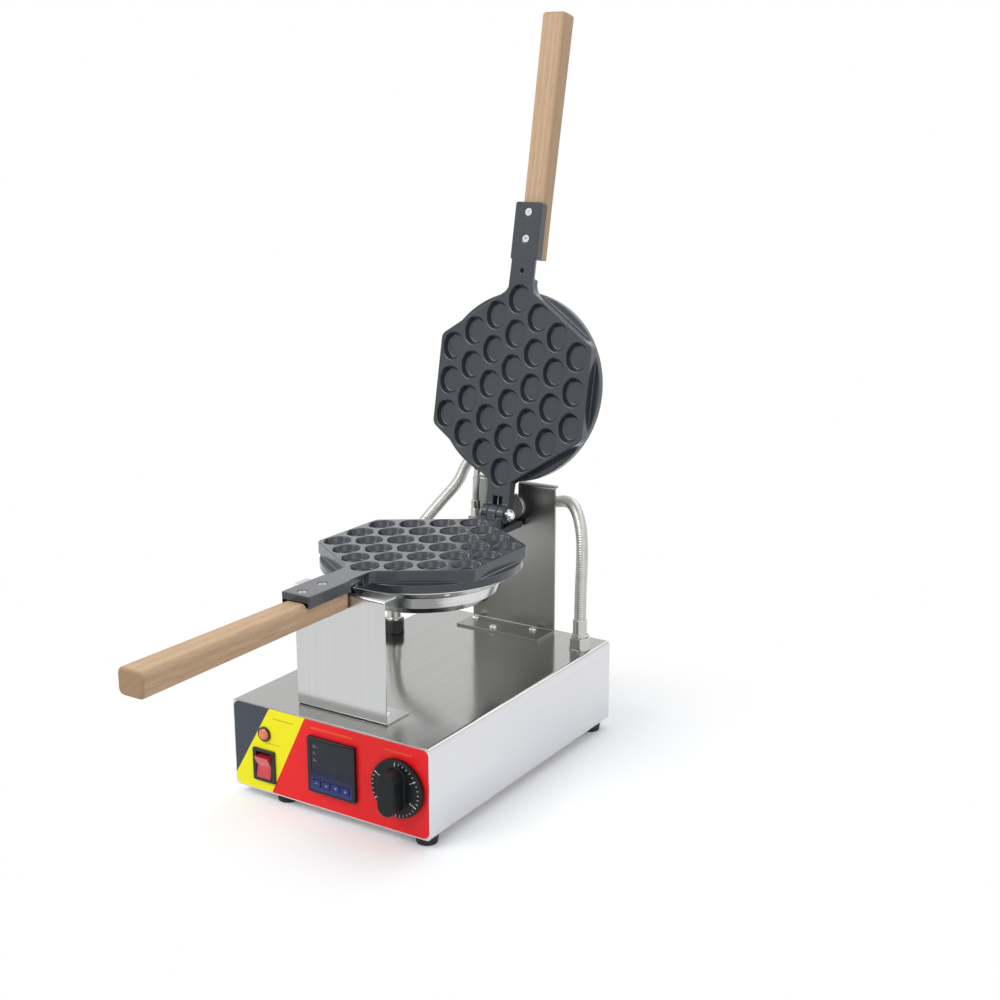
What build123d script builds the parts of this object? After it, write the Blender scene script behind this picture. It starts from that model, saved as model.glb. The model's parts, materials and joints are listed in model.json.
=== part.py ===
from build123d import *
import math
import os

# Egg waffle pan: a benchtop electric machine with two hinged, heated cell moulds.
# Millimetres. X runs across the machine, Y from the control panel to the back, Z up.
# The model is laid out from the front face of the housing (Y = 0) and the bench
# (Z = 0), and moved at the end so that its origin is the bottom centre of its box.

# ---------------------------------------------------------------- housing
housing_width = 200.0
housing_length = 290.0
housing_height = 77.0
housing_corner = 4.0
housing_sheet = 1.5
bottom_lip = 20.0
bottom_plate_thickness = 1.5
bottom_plate_gap = 0.3

foot_height = 8.0
foot_diameter = 19.5
foot_inset_y = 13.0
front_left_foot_x = -54.0
foot_inset_x = 12.5
foot_screw_diameter = 4.0
foot_screw_head = 8.0
foot_screw_sink = 3.0

screw_clearance = 0.15
seat_gap = 0.02

# ---------------------------------------------------------------- control panel
panel_thickness = 0.8
panel_margin = 1.6
panel_corner = 5.0

lamp_x = -65.3
lamp_drop = 24.3
lamp_lens_diameter = 10.5
lamp_lens_height = 4.0
lamp_stem_diameter = 8.0
lamp_stem_length = 20.0

switch_x = -66.5
switch_drop = 52.4
switch_frame_width = 23.4
switch_frame_height = 28.6
switch_frame_proud = 2.0
switch_body_width = 19.0
switch_body_height = 25.4
switch_body_depth = 22.0
rocker_width = 14.6
rocker_half_height = 10.0
rocker_reach = 7.5
rocker_dish = 3.2
rocker_gap = 0.5
rocker_tilt = 9.0

controller_x = 6.0
controller_drop = 37.6
controller_bezel = 48.0
controller_proud = 3.5
controller_case = 44.5
controller_depth = 78.0
screen_width = 40.0
screen_height = 28.0
screen_thickness = 1.5
key_count = 4
key_width = 7.4
key_height = 5.4
key_pitch = 9.8
key_depth = 2.6
key_proud = 0.5
key_travel = 0.4
key_gap = 0.25

knob_x = 71.5
knob_drop = 37.2
knob_skirt_diameter = 48.5
knob_skirt_thickness = 5.0
knob_panel_gap = 0.8
knob_grip_width = 18.0
knob_grip_length = 38.0
knob_grip_height = 13.5
timer_shaft_diameter = 6.0
timer_shaft_gap = 0.08
timer_body_width = 52.0
timer_body_height = 46.0
timer_body_depth = 34.0

# ---------------------------------------------------------------- inside
relay_x = 2.5
relay_back = 111.0
relay_width = 45.0
relay_length = 58.0
relay_plate = 3.0
relay_step = 2.5
relay_height = 23.0
relay_screw = 8.0
relay_screw_height = 2.5
relay_screw_spread = (25.0, 40.0)

terminal_ways = 5
terminal_pitch = 12.0
terminal_inset = 20.0
terminal_back = 43.0
terminal_depth = 22.0
terminal_ledge = 4.0
terminal_gap = 1.5
terminal_base = 8.0
terminal_tower = 9.0
terminal_hole = 5.0

mains_gland_x = -62.0
mains_gland_radius = 8.0

# ---------------------------------------------------------------- brackets
bracket_width = 90.0
bracket_sheet = 1.5
bracket_bend = 1.0
front_bracket_y = 19.0
front_flange_foot = 31.0
front_flange_top = 16.0
rear_bracket_y = housing_length - 9.0
rear_bracket_sheet = 2.0
rear_bracket_height = 141.0
rear_flange_foot = 31.0
rear_flange_top = 6.0
bracket_screw_diameter = 4.0
bracket_screw_head = 7.5
bracket_screw_grip = 5.0
front_screw_inset = (14.0, 12.0)
rear_screw_inset = (8.0, 8.0)
rear_middle_screw = (37.0, 9.0)
rear_right_screw_inset = 18.0

# ---------------------------------------------------------------- heated head
axis_height = 116.7
hinge_y = rear_bracket_y - 30.3
open_angle = 101.5
half_gap = 0.15
# The moulds keep their proportions over the span from the front rest to the hinge.
drawn_span = 231.7
mould_scale = (hinge_y - front_bracket_y) / drawn_span
pan_reach = 117.1 * mould_scale
hex_half_width = 80.0 * mould_scale
hex_half_side = 42.0 * mould_scale
hex_vertex_reach = 95.8 * mould_scale
hex_depth = 10.5
hex_corner = 8.0
neck_half_width = 12.0
neck_fillet = 12.0
neck_hole_y = 29.0
neck_hole_radius = 2.0
neck_hole_depth = 4.0
flange_radius = 87.0 * mould_scale
flange_depth = 7.0

cell_rows = 6
cell_spread = 3
cell_pitch_x = 22.0 * mould_scale
cell_pitch_y = 31.7 * mould_scale
cell_mouth = (11.3 * mould_scale, 13.2 * mould_scale)
cell_floor = (8.9 * mould_scale, 10.6 * mould_scale)
cell_depth = 5.6

journal_radius = 12.5
journal_rest_gap = 0.2
arm_end_gap = 0.5
arm_front_y = -33.0
arm_width = 28.0
arm_plate = 6.5
arm_wall = 2.5
arm_depth = 10.0

handle_end_y = -203.5
handle_height = 19.0
handle_corner = 5.0
handle_swell = 1.6
handle_straight = 3.0
handle_bracket_gap = 2.0
handle_fit = 0.1
handle_screw_y = (-24.0, 0.0)
handle_screw_diameter = 5.0
handle_screw_head = 7.0
handle_screw_length = 20.0

lug_half_width = 12.0
knuckle_half_width = 4.7
knuckle_radius = 8.5
knuckle_side_gap = 0.2
knuckle_room = 0.5
lug_slot_reach = 15.6
lug_root = 45.0
tail_drop = 11.5
pin_radius = 3.0
pin_fit = 0.02
pin_running_gap = 0.06
pin_head_radius = 5.2
pin_head_thickness = 2.5
pin_thread = 6.0
dome_nut_flats = 10.4
dome_nut_base = 4.0
dome_nut_radius = 4.9

hub_front = 13.5
hub_half_width = 6.0
hub_top = 13.0
hub_screw_diameter = 4.0
hub_screw_head = 7.0
hub_screw_head_height = 4.0
hub_screw_bite = 5.0
hub_screw_insets = (3.5, 11.0)
shaft_radius = 5.4
shaft_gap = 0.06
shaft_thread = 15.0
washer_thickness = 1.5
washer_radius = 12.0
washer_gap = 0.2
pivot_nut_flats = 17.0
pivot_nut_thickness = 8.0

heater_ring_radius = 56.0
heater_tube_radius = 4.0
heater_end_spread = 9.0
heater_end_drop = 9.0
insulation_radius = 62.0
insulation_thickness = 8.0
insulation_gap = 0.3
cover_sheet = 1.0
cover_rim_radius = 84.0
cover_rim_depth = 1.5
cover_shoulder_radius = 71.0
cover_shoulder_depth = 9.0
cover_floor_radius = 64.0
cover_corner = 6.0
cover_depth = 25.0
cover_round = 3.0
cover_vent_radius = 3.0
cover_vent_reach = 78.0
cover_vent_angle = -39.0
stud_radius = 3.0
stud_nut_flats = 11.0
stud_nut_thickness = 5.5
stud_washer_radius = 8.0
stud_washer_thickness = 1.2
probe_x = 22.0
probe_radius = 1.6
probe_front = 20.0
probe_back = 34.0
clip_half_width = 5.0
clip_start = 4.0
clip_length = 8.0
clip_height = 3.8

# ---------------------------------------------------------------- hoses
hose_diameter = 11.0
gland_flats = 18.0
gland_height = 12.0
gland_washer_radius = 9.6
gland_washer_thickness = 1.6
gland_stub_radius = 6.5
gland_stub_length = 9.0
locknut_flats = 17.0
locknut_thickness = 4.0
ferrule_radius = 6.4
ferrule_length = 16.0
ferrule_bead = 1.2
right_gland_inset = (13.5, 33.0)
left_gland_inset = (15.0, 84.0)
right_gland = (housing_width / 2 - right_gland_inset[0], housing_length - right_gland_inset[1])
left_gland = (-housing_width / 2 + left_gland_inset[0], housing_length - left_gland_inset[1])

elbow_radius = 7.5
elbow_cap = 6.5
elbow_leg_radius = 6.2
elbow_leg_length = 20.0
elbow_leg_rise = 6.0
elbow_nut_flats = 14.0
elbow_nut_thickness = 7.0

lid_fitting_angle = 53.0
lid_fitting_depth = 33.0
lid_fitting_reach = 86.0
lid_fitting_flats = 12.0
lid_fitting_nut = 7.0
lid_fitting_stem_radius = 4.0

link_x = -33.5
link_y = hinge_y + 17.5
link_boss_radius = 7.0
link_web_half = 5.0
link_hose_diameter = 6.0
link_nut_flats = 9.0
link_nut_height = 8.0
link_collar_height = 8.0
link_fitting_depth = 14.0
link_fitting_radius = 3.2
link_fitting_bite = 6.0
link_fitting_length = 7.0

# Places that each hose passes after its gland, from the housing's top back edge.
hose_right_rise = 27.0
hose_right_route = [
    (87.0, -31.5, 83.0),
    (84.0, -27.0, 105.0),
    (74.5, -17.0, 120.5),
    (61.0, -4.5, 126.5),
    (46.0, 8.0, 124.5),
    (32.8, 15.2, 120.2),
    (20.0, 15.2, 118.8),
]
hose_left_rise = 21.0
hose_left_route = [
    (-84.0, -74.0, 73.0),
    (-79.0, -52.0, 93.0),
    (-69.0, -28.0, 116.0),
    (-61.0, -9.0, 132.0),
    (-59.6, 0.6, 147.4),
    (-51.9, 2.7, 157.5),
]

# ---------------------------------------------------------------- worked out
housing_bottom = foot_height
housing_top = foot_height + housing_height
axis_z = housing_top + axis_height
inner_top = housing_top - housing_sheet
front_bracket_top = axis_z - journal_radius - journal_rest_gap
flange_bottom = hex_depth + flange_depth
plate_centre_y = -pan_reach
plate_neck_y = hinge_y - pan_reach - front_bracket_y - front_flange_top - 1.0
handle_width = arm_width - 2 * arm_wall - 2 * handle_fit
cheek_inner = knuckle_half_width + knuckle_side_gap
pin_outer = lug_half_width + knuckle_side_gap
slot_half_width = shaft_radius + shaft_gap
link_rim_y = plate_centre_y + math.sqrt(flange_radius**2 - link_x**2)
post_front = rear_bracket_y - hinge_y
post_back = post_front + rear_bracket_sheet
hub_back = post_front - washer_gap - washer_thickness
shaft_end = post_back + washer_gap + washer_thickness + pivot_nut_thickness + shaft_thread * 0.4


def pan_y(y):
    """Distance of a place along the machine behind the hinge axis."""
    return y - hinge_y


def block(x0, x1, y0, y1, z0, z1):
    """A box between two corners."""
    return Pos((x0 + x1) / 2, (y0 + y1) / 2, (z0 + z1) / 2) * Box(x1 - x0, y1 - y0, z1 - z0)


def rod_x(radius, x0, x1, y=0.0, z=0.0):
    """A round bar along X."""
    return Pos((x0 + x1) / 2, y, z) * Rot(0, 90, 0) * Cylinder(radius, x1 - x0)


def rod_y(radius, y0, y1, x=0.0, z=0.0):
    """A round bar along Y."""
    return Pos(x, (y0 + y1) / 2, z) * Rot(90, 0, 0) * Cylinder(radius, y1 - y0)


def rod_z(radius, z0, z1, x=0.0, y=0.0):
    """A round bar along Z."""
    return Pos(x, y, (z0 + z1) / 2) * Cylinder(radius, z1 - z0)


def nut_z(flats, z0, z1, x=0.0, y=0.0):
    """A hexagon prism along Z, given across its flats."""
    profile = RegularPolygon(flats / 2, 6, major_radius=False)
    return Pos(x, y, z0) * extrude(profile, amount=z1 - z0)


def along_y(shape, x=0.0, y=0.0, z=0.0):
    """Turns a shape drawn up +Z so that it points to -Y, and places it."""
    return Pos(x, y, z) * Rot(90, 0, 0) * shape


def screw_z(head, shank, length, head_height, z, x, y):
    """A pan-head screw that points down, with its head's seat at z."""
    dome = Pos(x, y, z) * Cylinder(head / 2, head_height, align=(Align.CENTER, Align.CENTER, Align.MIN))
    dome = fillet(dome.edges().group_by(Axis.Z)[-1], head_height * 0.6)
    return dome + rod_z(shank / 2, z - length, z, x, y)


# ---------------------------------------------------------------- housing
right_foot_x = housing_width / 2 - foot_inset_x
rear_foot_y = housing_length - foot_inset_y
foot_places = [
    (front_left_foot_x, foot_inset_y),
    (right_foot_x, foot_inset_y),
    (-right_foot_x, rear_foot_y),
    (right_foot_x, rear_foot_y),
]
front_screw_x = bracket_width / 2 - front_screw_inset[0]
front_screw_y = front_bracket_y + front_flange_foot - front_screw_inset[1]
front_bracket_screws_at = [(side * front_screw_x, front_screw_y) for side in (-1, 1)]
rear_screw_y = rear_bracket_y - rear_screw_inset[1]
rear_bracket_screws_at = [
    (-bracket_width / 2 + rear_screw_inset[0], rear_screw_y),
    (-bracket_width / 2 + rear_middle_screw[0], rear_bracket_y - rear_flange_foot + rear_middle_screw[1]),
    (bracket_width / 2 - rear_right_screw_inset, rear_screw_y),
]
lamp_z = housing_top - lamp_drop
switch_z = housing_top - switch_drop
controller_z = housing_top - controller_drop
knob_z = housing_top - knob_drop
mains_gland_z = housing_bottom + housing_height / 2


def front_cuts(y0, y1):
    """The openings that the panel and the housing front share."""
    cuts = rod_y(lamp_stem_diameter / 2 + screw_clearance, y0, y1, lamp_x, lamp_z)
    half_w = switch_body_width / 2 + rocker_gap / 2
    half_h = switch_body_height / 2 + rocker_gap / 2
    cuts += block(switch_x - half_w, switch_x + half_w, y0, y1, switch_z - half_h, switch_z + half_h)
    half = controller_case / 2 + rocker_gap / 2
    cuts += block(
        controller_x - half, controller_x + half, y0, y1, controller_z - half, controller_z + half
    )
    cuts += rod_y(timer_shaft_diameter / 2 + 1.5, y0, y1, knob_x, knob_z)
    return cuts


def make_housing():
    """Folded cover: a rounded tube with front and back walls and lips for the bottom plate."""
    mid_z = housing_bottom + housing_height / 2
    outline = RectangleRounded(housing_width, housing_height, housing_corner)
    inner = RectangleRounded(
        housing_width - 2 * housing_sheet, housing_height - 2 * housing_sheet, housing_corner - housing_sheet
    )
    shell = along_y(extrude(outline, amount=housing_length), 0, housing_length, mid_z)
    hollow = along_y(
        extrude(inner, amount=housing_length - 2 * housing_sheet), 0, housing_length - housing_sheet, mid_z
    )
    cover = shell - hollow
    cover -= block(
        -housing_width / 2 + bottom_lip,
        housing_width / 2 - bottom_lip,
        bottom_lip,
        housing_length - bottom_lip,
        housing_bottom - 1,
        housing_bottom + 2 * housing_sheet,
    )
    cover -= front_cuts(-1, 2 * housing_sheet)
    for x, y in front_bracket_screws_at + rear_bracket_screws_at:
        cover -= rod_z(bracket_screw_diameter / 2 + screw_clearance, inner_top - 1, housing_top + 1, x, y)
    for x, y in (right_gland, left_gland):
        cover -= rod_z(gland_stub_radius + screw_clearance, inner_top - 1, housing_top + 1, x, y)
    for x, y in foot_places:
        cover -= rod_z(
            foot_screw_diameter / 2 + screw_clearance, housing_bottom - 1, housing_bottom + 3, x, y
        )
    cover -= rod_y(
        mains_gland_radius + screw_clearance,
        housing_length - 2 * housing_sheet,
        housing_length + 1,
        mains_gland_x,
        mains_gland_z,
    )
    return cover


def make_bottom_plate():
    """Flat plate that closes the housing from inside, on the lips."""
    half_x = housing_width / 2 - housing_sheet - housing_corner
    y0 = housing_sheet + bottom_plate_gap
    z0 = housing_bottom + housing_sheet
    plate = block(-half_x, half_x, y0, housing_length - y0, z0, z0 + bottom_plate_thickness)
    for x, y in foot_places:
        plate -= rod_z(foot_screw_diameter / 2 + screw_clearance, z0 - 1, z0 + 4, x, y)
    return plate


def make_feet():
    """Four rubber bumpers, each sunk in the middle for its screw."""
    feet = []
    for x, y in foot_places:
        foot = Pos(x, y, 0) * Cone(
            foot_diameter / 2 - 1.2, foot_diameter / 2, foot_height, align=(Align.CENTER, Align.CENTER, Align.MIN)
        )
        foot -= rod_z(foot_screw_head / 2 + 0.3, -1, foot_screw_sink, x, y)
        foot -= rod_z(foot_screw_diameter / 2 + screw_clearance, 0, foot_height + 1, x, y)
        feet.append(foot)
    return Compound(children=feet)


def make_foot_screws():
    """The screws that hold the feet, with nuts on the bottom plate."""
    screws = []
    top = housing_bottom + housing_sheet + bottom_plate_thickness
    for x, y in foot_places:
        head = rod_z(foot_screw_head / 2, foot_screw_sink - 2.2, foot_screw_sink, x, y)
        shank = rod_z(foot_screw_diameter / 2, foot_screw_sink - 1, top + 4.5, x, y)
        screws.append(head + shank + nut_z(7.0, top + seat_gap, top + 3.0, x, y))
    return Compound(children=screws)


# ---------------------------------------------------------------- front controls
def make_panel():
    """Printed front plate with rounded corners and the openings of the controls."""
    outline = RectangleRounded(
        housing_width - 2 * panel_margin, housing_height - 2 * panel_margin, panel_corner
    )
    plate = along_y(extrude(outline, amount=panel_thickness), 0, 0, housing_bottom + housing_height / 2)
    return plate - front_cuts(-panel_thickness - 1, 1)


def make_lamp():
    """Indicator: a domed lens on a threaded stem with its nut behind the sheet."""
    face = -panel_thickness
    dome = Sphere(lamp_lens_diameter / 2) & Pos(0, 0, lamp_lens_diameter / 2) * Box(
        lamp_lens_diameter, lamp_lens_diameter, lamp_lens_diameter
    )
    lens = extrude(Circle(lamp_lens_diameter / 2), amount=1.0)
    lens += Pos(0, 0, 1.0) * scale(dome, by=(1, 1, (lamp_lens_height - 1.0) / (lamp_lens_diameter / 2)))
    lens = along_y(lens, lamp_x, face, lamp_z)
    stem = rod_y(lamp_stem_diameter / 2, face, face + lamp_stem_length, lamp_x, lamp_z)
    nut = along_y(nut_z(11.0, 0, 3.0), lamp_x, housing_sheet + 3.0, lamp_z)
    return lens, stem + nut


def make_switch():
    """Rocker switch: a snap-in frame with its body, and the rocker on its trunnions."""
    face = -panel_thickness
    pivot_y = face + 3.0
    half_w = rocker_width / 2 + rocker_gap
    half_h = rocker_half_height + 2 * rocker_gap + 0.6
    frame = along_y(
        extrude(RectangleRounded(switch_frame_width, switch_frame_height, 1.2), amount=switch_frame_proud),
        switch_x,
        face,
        switch_z,
    )
    frame += block(
        switch_x - switch_body_width / 2,
        switch_x + switch_body_width / 2,
        face,
        face + switch_body_depth,
        switch_z - switch_body_height / 2,
        switch_z + switch_body_height / 2,
    )
    frame -= block(
        switch_x - half_w, switch_x + half_w, face - 10, pivot_y + 6.0, switch_z - half_h, switch_z + half_h
    )
    trunnion = 1.5
    frame -= rod_x(trunnion + 0.1, switch_x - half_w - 1.2, switch_x + half_w + 1.2, pivot_y, switch_z)
    for blade_z in (-7.0, 7.0):
        frame += block(
            switch_x - 3.2,
            switch_x + 3.2,
            face + switch_body_depth,
            face + switch_body_depth + 8.0,
            switch_z + blade_z - 0.4,
            switch_z + blade_z + 0.4,
        )
    crest = (-rocker_reach, rocker_half_height)
    valley = -rocker_reach + rocker_dish
    heel = rocker_half_height - 2.5
    profile = Polygon(
        crest, (valley, 0), (crest[0], -crest[1]), (2.0, -heel), (2.0, heel), align=None
    )
    rocker = Plane.YZ * profile
    rocker = Pos(-rocker_width / 2, 0, 0) * extrude(rocker, amount=rocker_width, dir=(1, 0, 0))
    rocker += rod_x(trunnion, -rocker_width / 2 - rocker_gap - 1.0, rocker_width / 2 + rocker_gap + 1.0)
    rocker = Pos(switch_x, pivot_y, switch_z) * Rot(rocker_tilt, 0, 0) * rocker
    return frame, rocker, (switch_x, pivot_y, switch_z)


def make_controller():
    """Temperature controller: case with bezel, its window, and four push keys below it."""
    face = -panel_thickness
    front = face - controller_proud
    half = controller_case / 2
    case = along_y(
        extrude(RectangleRounded(controller_bezel, controller_bezel, 1.5), amount=controller_proud),
        controller_x,
        face,
        controller_z,
    )
    case += block(
        controller_x - half,
        controller_x + half,
        face,
        face + controller_depth,
        controller_z - half,
        controller_z + half,
    )
    screen_top = controller_z + controller_bezel / 2 - 3.5
    window = (
        controller_x - screen_width / 2,
        controller_x + screen_width / 2,
        front + 0.5,
        front + 0.5 + screen_thickness,
        screen_top - screen_height,
        screen_top,
    )
    case -= block(window[0], window[1], front - 1, window[3], window[4], window[5])
    screen = block(*window)
    key_z = (screen_top - screen_height + controller_z - controller_bezel / 2) / 2 + 0.4
    keys = []
    for index in range(key_count):
        x = controller_x + (index - (key_count - 1) / 2) * key_pitch
        pocket_w = key_width / 2 + key_gap
        pocket_h = key_height / 2 + key_gap
        back = front - key_proud + key_depth + key_travel + key_gap
        case -= block(x - pocket_w, x + pocket_w, front - 1, back, key_z - pocket_h, key_z + pocket_h)
        key = extrude(RectangleRounded(key_width, key_height, 1.0), amount=key_depth)
        keys.append(along_y(key, x, front - key_proud + key_depth, key_z))
    return case, screen, keys


def make_timer():
    """Spring timer behind the sheet, and the knob on its shaft."""
    face = -panel_thickness
    body = block(
        knob_x - timer_body_width / 2,
        min(knob_x + timer_body_width / 2, housing_width / 2 - housing_sheet - 2.0),
        housing_sheet,
        housing_sheet + timer_body_depth,
        knob_z - timer_body_height / 2,
        knob_z + timer_body_height / 2,
    )
    shaft_end_y = housing_sheet + 12.0
    body -= rod_y(timer_shaft_diameter / 2 + timer_shaft_gap, housing_sheet - 1, shaft_end_y + 0.5, knob_x, knob_z)
    skirt = extrude(Circle(knob_skirt_diameter / 2), amount=knob_skirt_thickness)
    skirt = chamfer(skirt.edges().group_by(Axis.Z)[-1], 1.2)
    grip = extrude(
        SlotOverall(knob_grip_length, knob_grip_width, rotation=90),
        amount=knob_skirt_thickness + knob_grip_height,
        taper=3,
    )
    grip = fillet(grip.edges().group_by(Axis.Z)[-1], 1.5)
    knob = along_y(skirt + grip, knob_x, face - knob_panel_gap, knob_z)
    knob += rod_y(timer_shaft_diameter / 2, face - knob_panel_gap - 1, shaft_end_y, knob_x, knob_z)
    return body, knob


# ---------------------------------------------------------------- inside the housing
def make_relay():
    """Power relay on its heat sink plate, with four terminal screws."""
    floor = housing_bottom + housing_sheet + bottom_plate_thickness
    half_x = relay_width / 2
    half_y = relay_length / 2
    x, y = relay_x, housing_length - relay_back
    body_top = floor + relay_plate + relay_height
    relay = block(x - half_x, x + half_x, y - half_y, y + half_y, floor, floor + relay_plate)
    relay += block(
        x - half_x + relay_step,
        x + half_x - relay_step,
        y - half_y + relay_step,
        y + half_y - relay_step,
        floor + relay_plate,
        body_top,
    )
    for side_x in (-1, 1):
        for side_y in (-1, 1):
            relay += rod_z(
                relay_screw / 2,
                body_top,
                body_top + relay_screw_height,
                x + side_x * relay_screw_spread[0] / 2,
                y + side_y * relay_screw_spread[1] / 2,
            )
    return relay


def make_terminal_block():
    """Five-way screw terminal block."""
    floor = housing_bottom + housing_sheet + bottom_plate_thickness
    y = housing_length - terminal_back
    x0 = -housing_width / 2 + terminal_inset
    x1 = x0 + terminal_ways * terminal_pitch
    base_top = floor + terminal_base
    strip = block(x0, x1, y - terminal_depth / 2, y + terminal_depth / 2, floor, base_top)
    for way in range(terminal_ways):
        x = x0 + terminal_pitch * (way + 0.5)
        half_x = terminal_pitch / 2 - terminal_gap
        half_y = terminal_depth / 2 - terminal_ledge
        strip += block(x - half_x, x + half_x, y - half_y, y + half_y, base_top, base_top + terminal_tower)
        strip -= rod_z(terminal_hole / 2, base_top + terminal_tower / 2, base_top + terminal_tower + 1, x, y)
    return strip


def make_mains_gland():
    """Cable gland in the back wall: body, dome and the nut inside. Its bore is open."""
    y0 = housing_length
    gland = along_y(nut_z(22.0, 0, 5.0), mains_gland_x, y0 + 5.0, mains_gland_z)
    gland += rod_y(9.5, y0 + 5.0, y0 + 15.0, mains_gland_x, mains_gland_z)
    gland = chamfer(gland.edges().group_by(Axis.Y)[-1], 2.5)
    gland += rod_y(mains_gland_radius, y0 - housing_sheet - 9.0, y0, mains_gland_x, mains_gland_z)
    gland += along_y(
        nut_z(22.0, 0, 4.0), mains_gland_x, y0 - housing_sheet, mains_gland_z
    )
    return gland - rod_y(4.0, y0 - 30.0, y0 + 30.0, mains_gland_x, mains_gland_z)


# ---------------------------------------------------------------- brackets
def folded_sheet(points, thickness, width, bend):
    """Sheet of even thickness folded along a side view given in Y and Z."""
    line = FilletPolyline(*[(0, y, z) for y, z in points], radius=bend + thickness / 2)
    start = line @ 0
    section = Plane(origin=start, z_dir=line % 0, x_dir=(1, 0, 0)) * Rectangle(width, thickness)
    return sweep(section, path=line)


def make_front_bracket():
    """Front rest: a plate between a foot flange and the flange that the journal rolls on."""
    half = bracket_sheet / 2
    y = front_bracket_y + half
    bracket = folded_sheet(
        [
            (front_bracket_y + front_flange_foot, housing_top + half),
            (y, housing_top + half),
            (y, front_bracket_top - half),
            (front_bracket_y + front_flange_top, front_bracket_top - half),
        ],
        bracket_sheet,
        bracket_width,
        bracket_bend,
    )
    for x, hole_y in front_bracket_screws_at:
        bracket -= rod_z(bracket_screw_diameter / 2 + screw_clearance, housing_top - 1, housing_top + 4, x, hole_y)
    return bracket


def make_rear_bracket():
    """Back post: a plate with an open slot for the roll shaft, a foot flange and a bent top."""
    half = rear_bracket_sheet / 2
    y = rear_bracket_y + half
    top = housing_top + rear_bracket_height
    bracket = folded_sheet(
        [
            (rear_bracket_y - rear_flange_foot + rear_bracket_sheet, housing_top + half),
            (y, housing_top + half),
            (y, top - half),
            (rear_bracket_y + rear_flange_top, top - half),
        ],
        rear_bracket_sheet,
        bracket_width,
        bracket_bend,
    )
    slot_back = rear_bracket_y + rear_flange_top + 1
    bracket -= rod_y(slot_half_width, rear_bracket_y - 1, slot_back, 0, axis_z)
    bracket -= block(-slot_half_width, slot_half_width, rear_bracket_y - 1, slot_back, axis_z, top + 1)
    for x, hole_y in rear_bracket_screws_at:
        bracket -= rod_z(bracket_screw_diameter / 2 + screw_clearance, housing_top - 1, housing_top + 4, x, hole_y)
    return bracket


def make_bracket_screws(places, sheet):
    """Screws down through a bracket's foot flange and the housing, with nuts below."""
    screws = []
    for x, y in places:
        screw = screw_z(bracket_screw_head, bracket_screw_diameter, housing_sheet + sheet + bracket_screw_grip, 2.4,
                        housing_top + sheet, x, y)
        screws.append(screw + nut_z(7.0, inner_top - 3.2, inner_top - seat_gap, x, y))
    return Compound(children=screws)


# ---------------------------------------------------------------- moulds
# A mould is drawn as the lower one: the hinge axis is the origin, the mating plane
# is Z = -half_gap and the handle lies towards -Y. The upper one is its mirror image.
def cell_places():
    """Centres of the cells: six diagonal rows, cut to a hexagon."""
    places = []
    for i in range(cell_rows):
        for j in range(cell_rows):
            if abs(i - j) <= cell_spread:
                x = (i - j) * cell_pitch_x
                y = (i + j - (cell_rows - 1)) * cell_pitch_y / 2
                places.append((x, plate_centre_y + y))
    return places


def plate_outline():
    """Outline of the raised cell plate: a hexagon with rounded corners that runs into the neck."""
    side = hex_half_width
    outline = Polygon(
        (side, hex_half_side),
        (0, hex_vertex_reach),
        (-side, hex_half_side),
        (-side, -hex_half_side),
        (0, -hex_vertex_reach),
        (side, -hex_half_side),
        align=None,
    )
    neck_length = plate_neck_y - (hex_vertex_reach - neck_half_width)
    outline += Pos(0, -plate_neck_y + neck_length / 2) * Rectangle(2 * neck_half_width, neck_length)
    corners = [v for v in outline.vertices() if abs(v.X) > neck_half_width + 1 or v.Y > 0]
    outline = fillet(corners, hex_corner)
    roots = [v for v in outline.vertices() if abs(abs(v.X) - neck_half_width) < 0.1 and v.Y > -hex_vertex_reach + 1]
    return fillet(roots, neck_fillet)


def make_mould_body():
    """What both moulds share: hexagonal cell plate, round flange, neck journal and handle channel."""
    top = -half_gap
    plate = Pos(0, plate_centre_y, -hex_depth) * extrude(plate_outline(), amount=hex_depth - half_gap)
    body = plate + rod_z(flange_radius, -flange_bottom, -hex_depth, 0, plate_centre_y)
    neck_front = pan_y(front_bracket_y - arm_end_gap)
    neck_back = plate_centre_y - flange_radius + 6.0
    neck = rod_y(journal_radius, neck_front, neck_back)
    neck &= block(-20, 20, neck_front, neck_back, -20, top)
    body += neck
    arm_y0 = pan_y(arm_front_y)
    arm = block(-arm_width / 2, arm_width / 2, arm_y0, neck_front, -arm_depth, top)
    arm = fillet(arm.edges().filter_by(Axis.Z).group_by(Axis.Y)[0], 2.0)
    arm -= block(
        -arm_width / 2 + arm_wall, arm_width / 2 - arm_wall, arm_y0 - 1, neck_front + 1, -arm_depth - 1, -arm_plate
    )
    for y in handle_screw_y:
        arm -= rod_z(handle_screw_diameter / 2 + screw_clearance, -20, 1, 0, pan_y(y))
        arm -= rod_z(handle_screw_head / 2 + 0.2, -2.6, 1, 0, pan_y(y))
    body += arm
    groove = Pos(0, plate_centre_y, -flange_bottom) * Torus(heater_ring_radius, heater_tube_radius + 0.15)
    body -= groove
    body -= rod_z(stud_radius + 0.1, -flange_bottom - 1, -flange_bottom + 4.0, 0, plate_centre_y)
    return body


def cut_cells(body):
    """The cells, each a shallow oval cup with sloped walls and a flat floor."""
    cup = loft([Ellipse(*cell_mouth), Pos(0, 0, -cell_depth) * Ellipse(*cell_floor)], ruled=True)
    return body - [Pos(x, y, -half_gap) * cup for x, y in cell_places()]


def side_profile(points, half_width):
    """A prism across X from a side view given in Y and Z."""
    face = Plane.YZ * Polygon(*points, align=None)
    return Pos(-half_width, 0, 0) * extrude(face, amount=2 * half_width, dir=(1, 0, 0))


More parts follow.
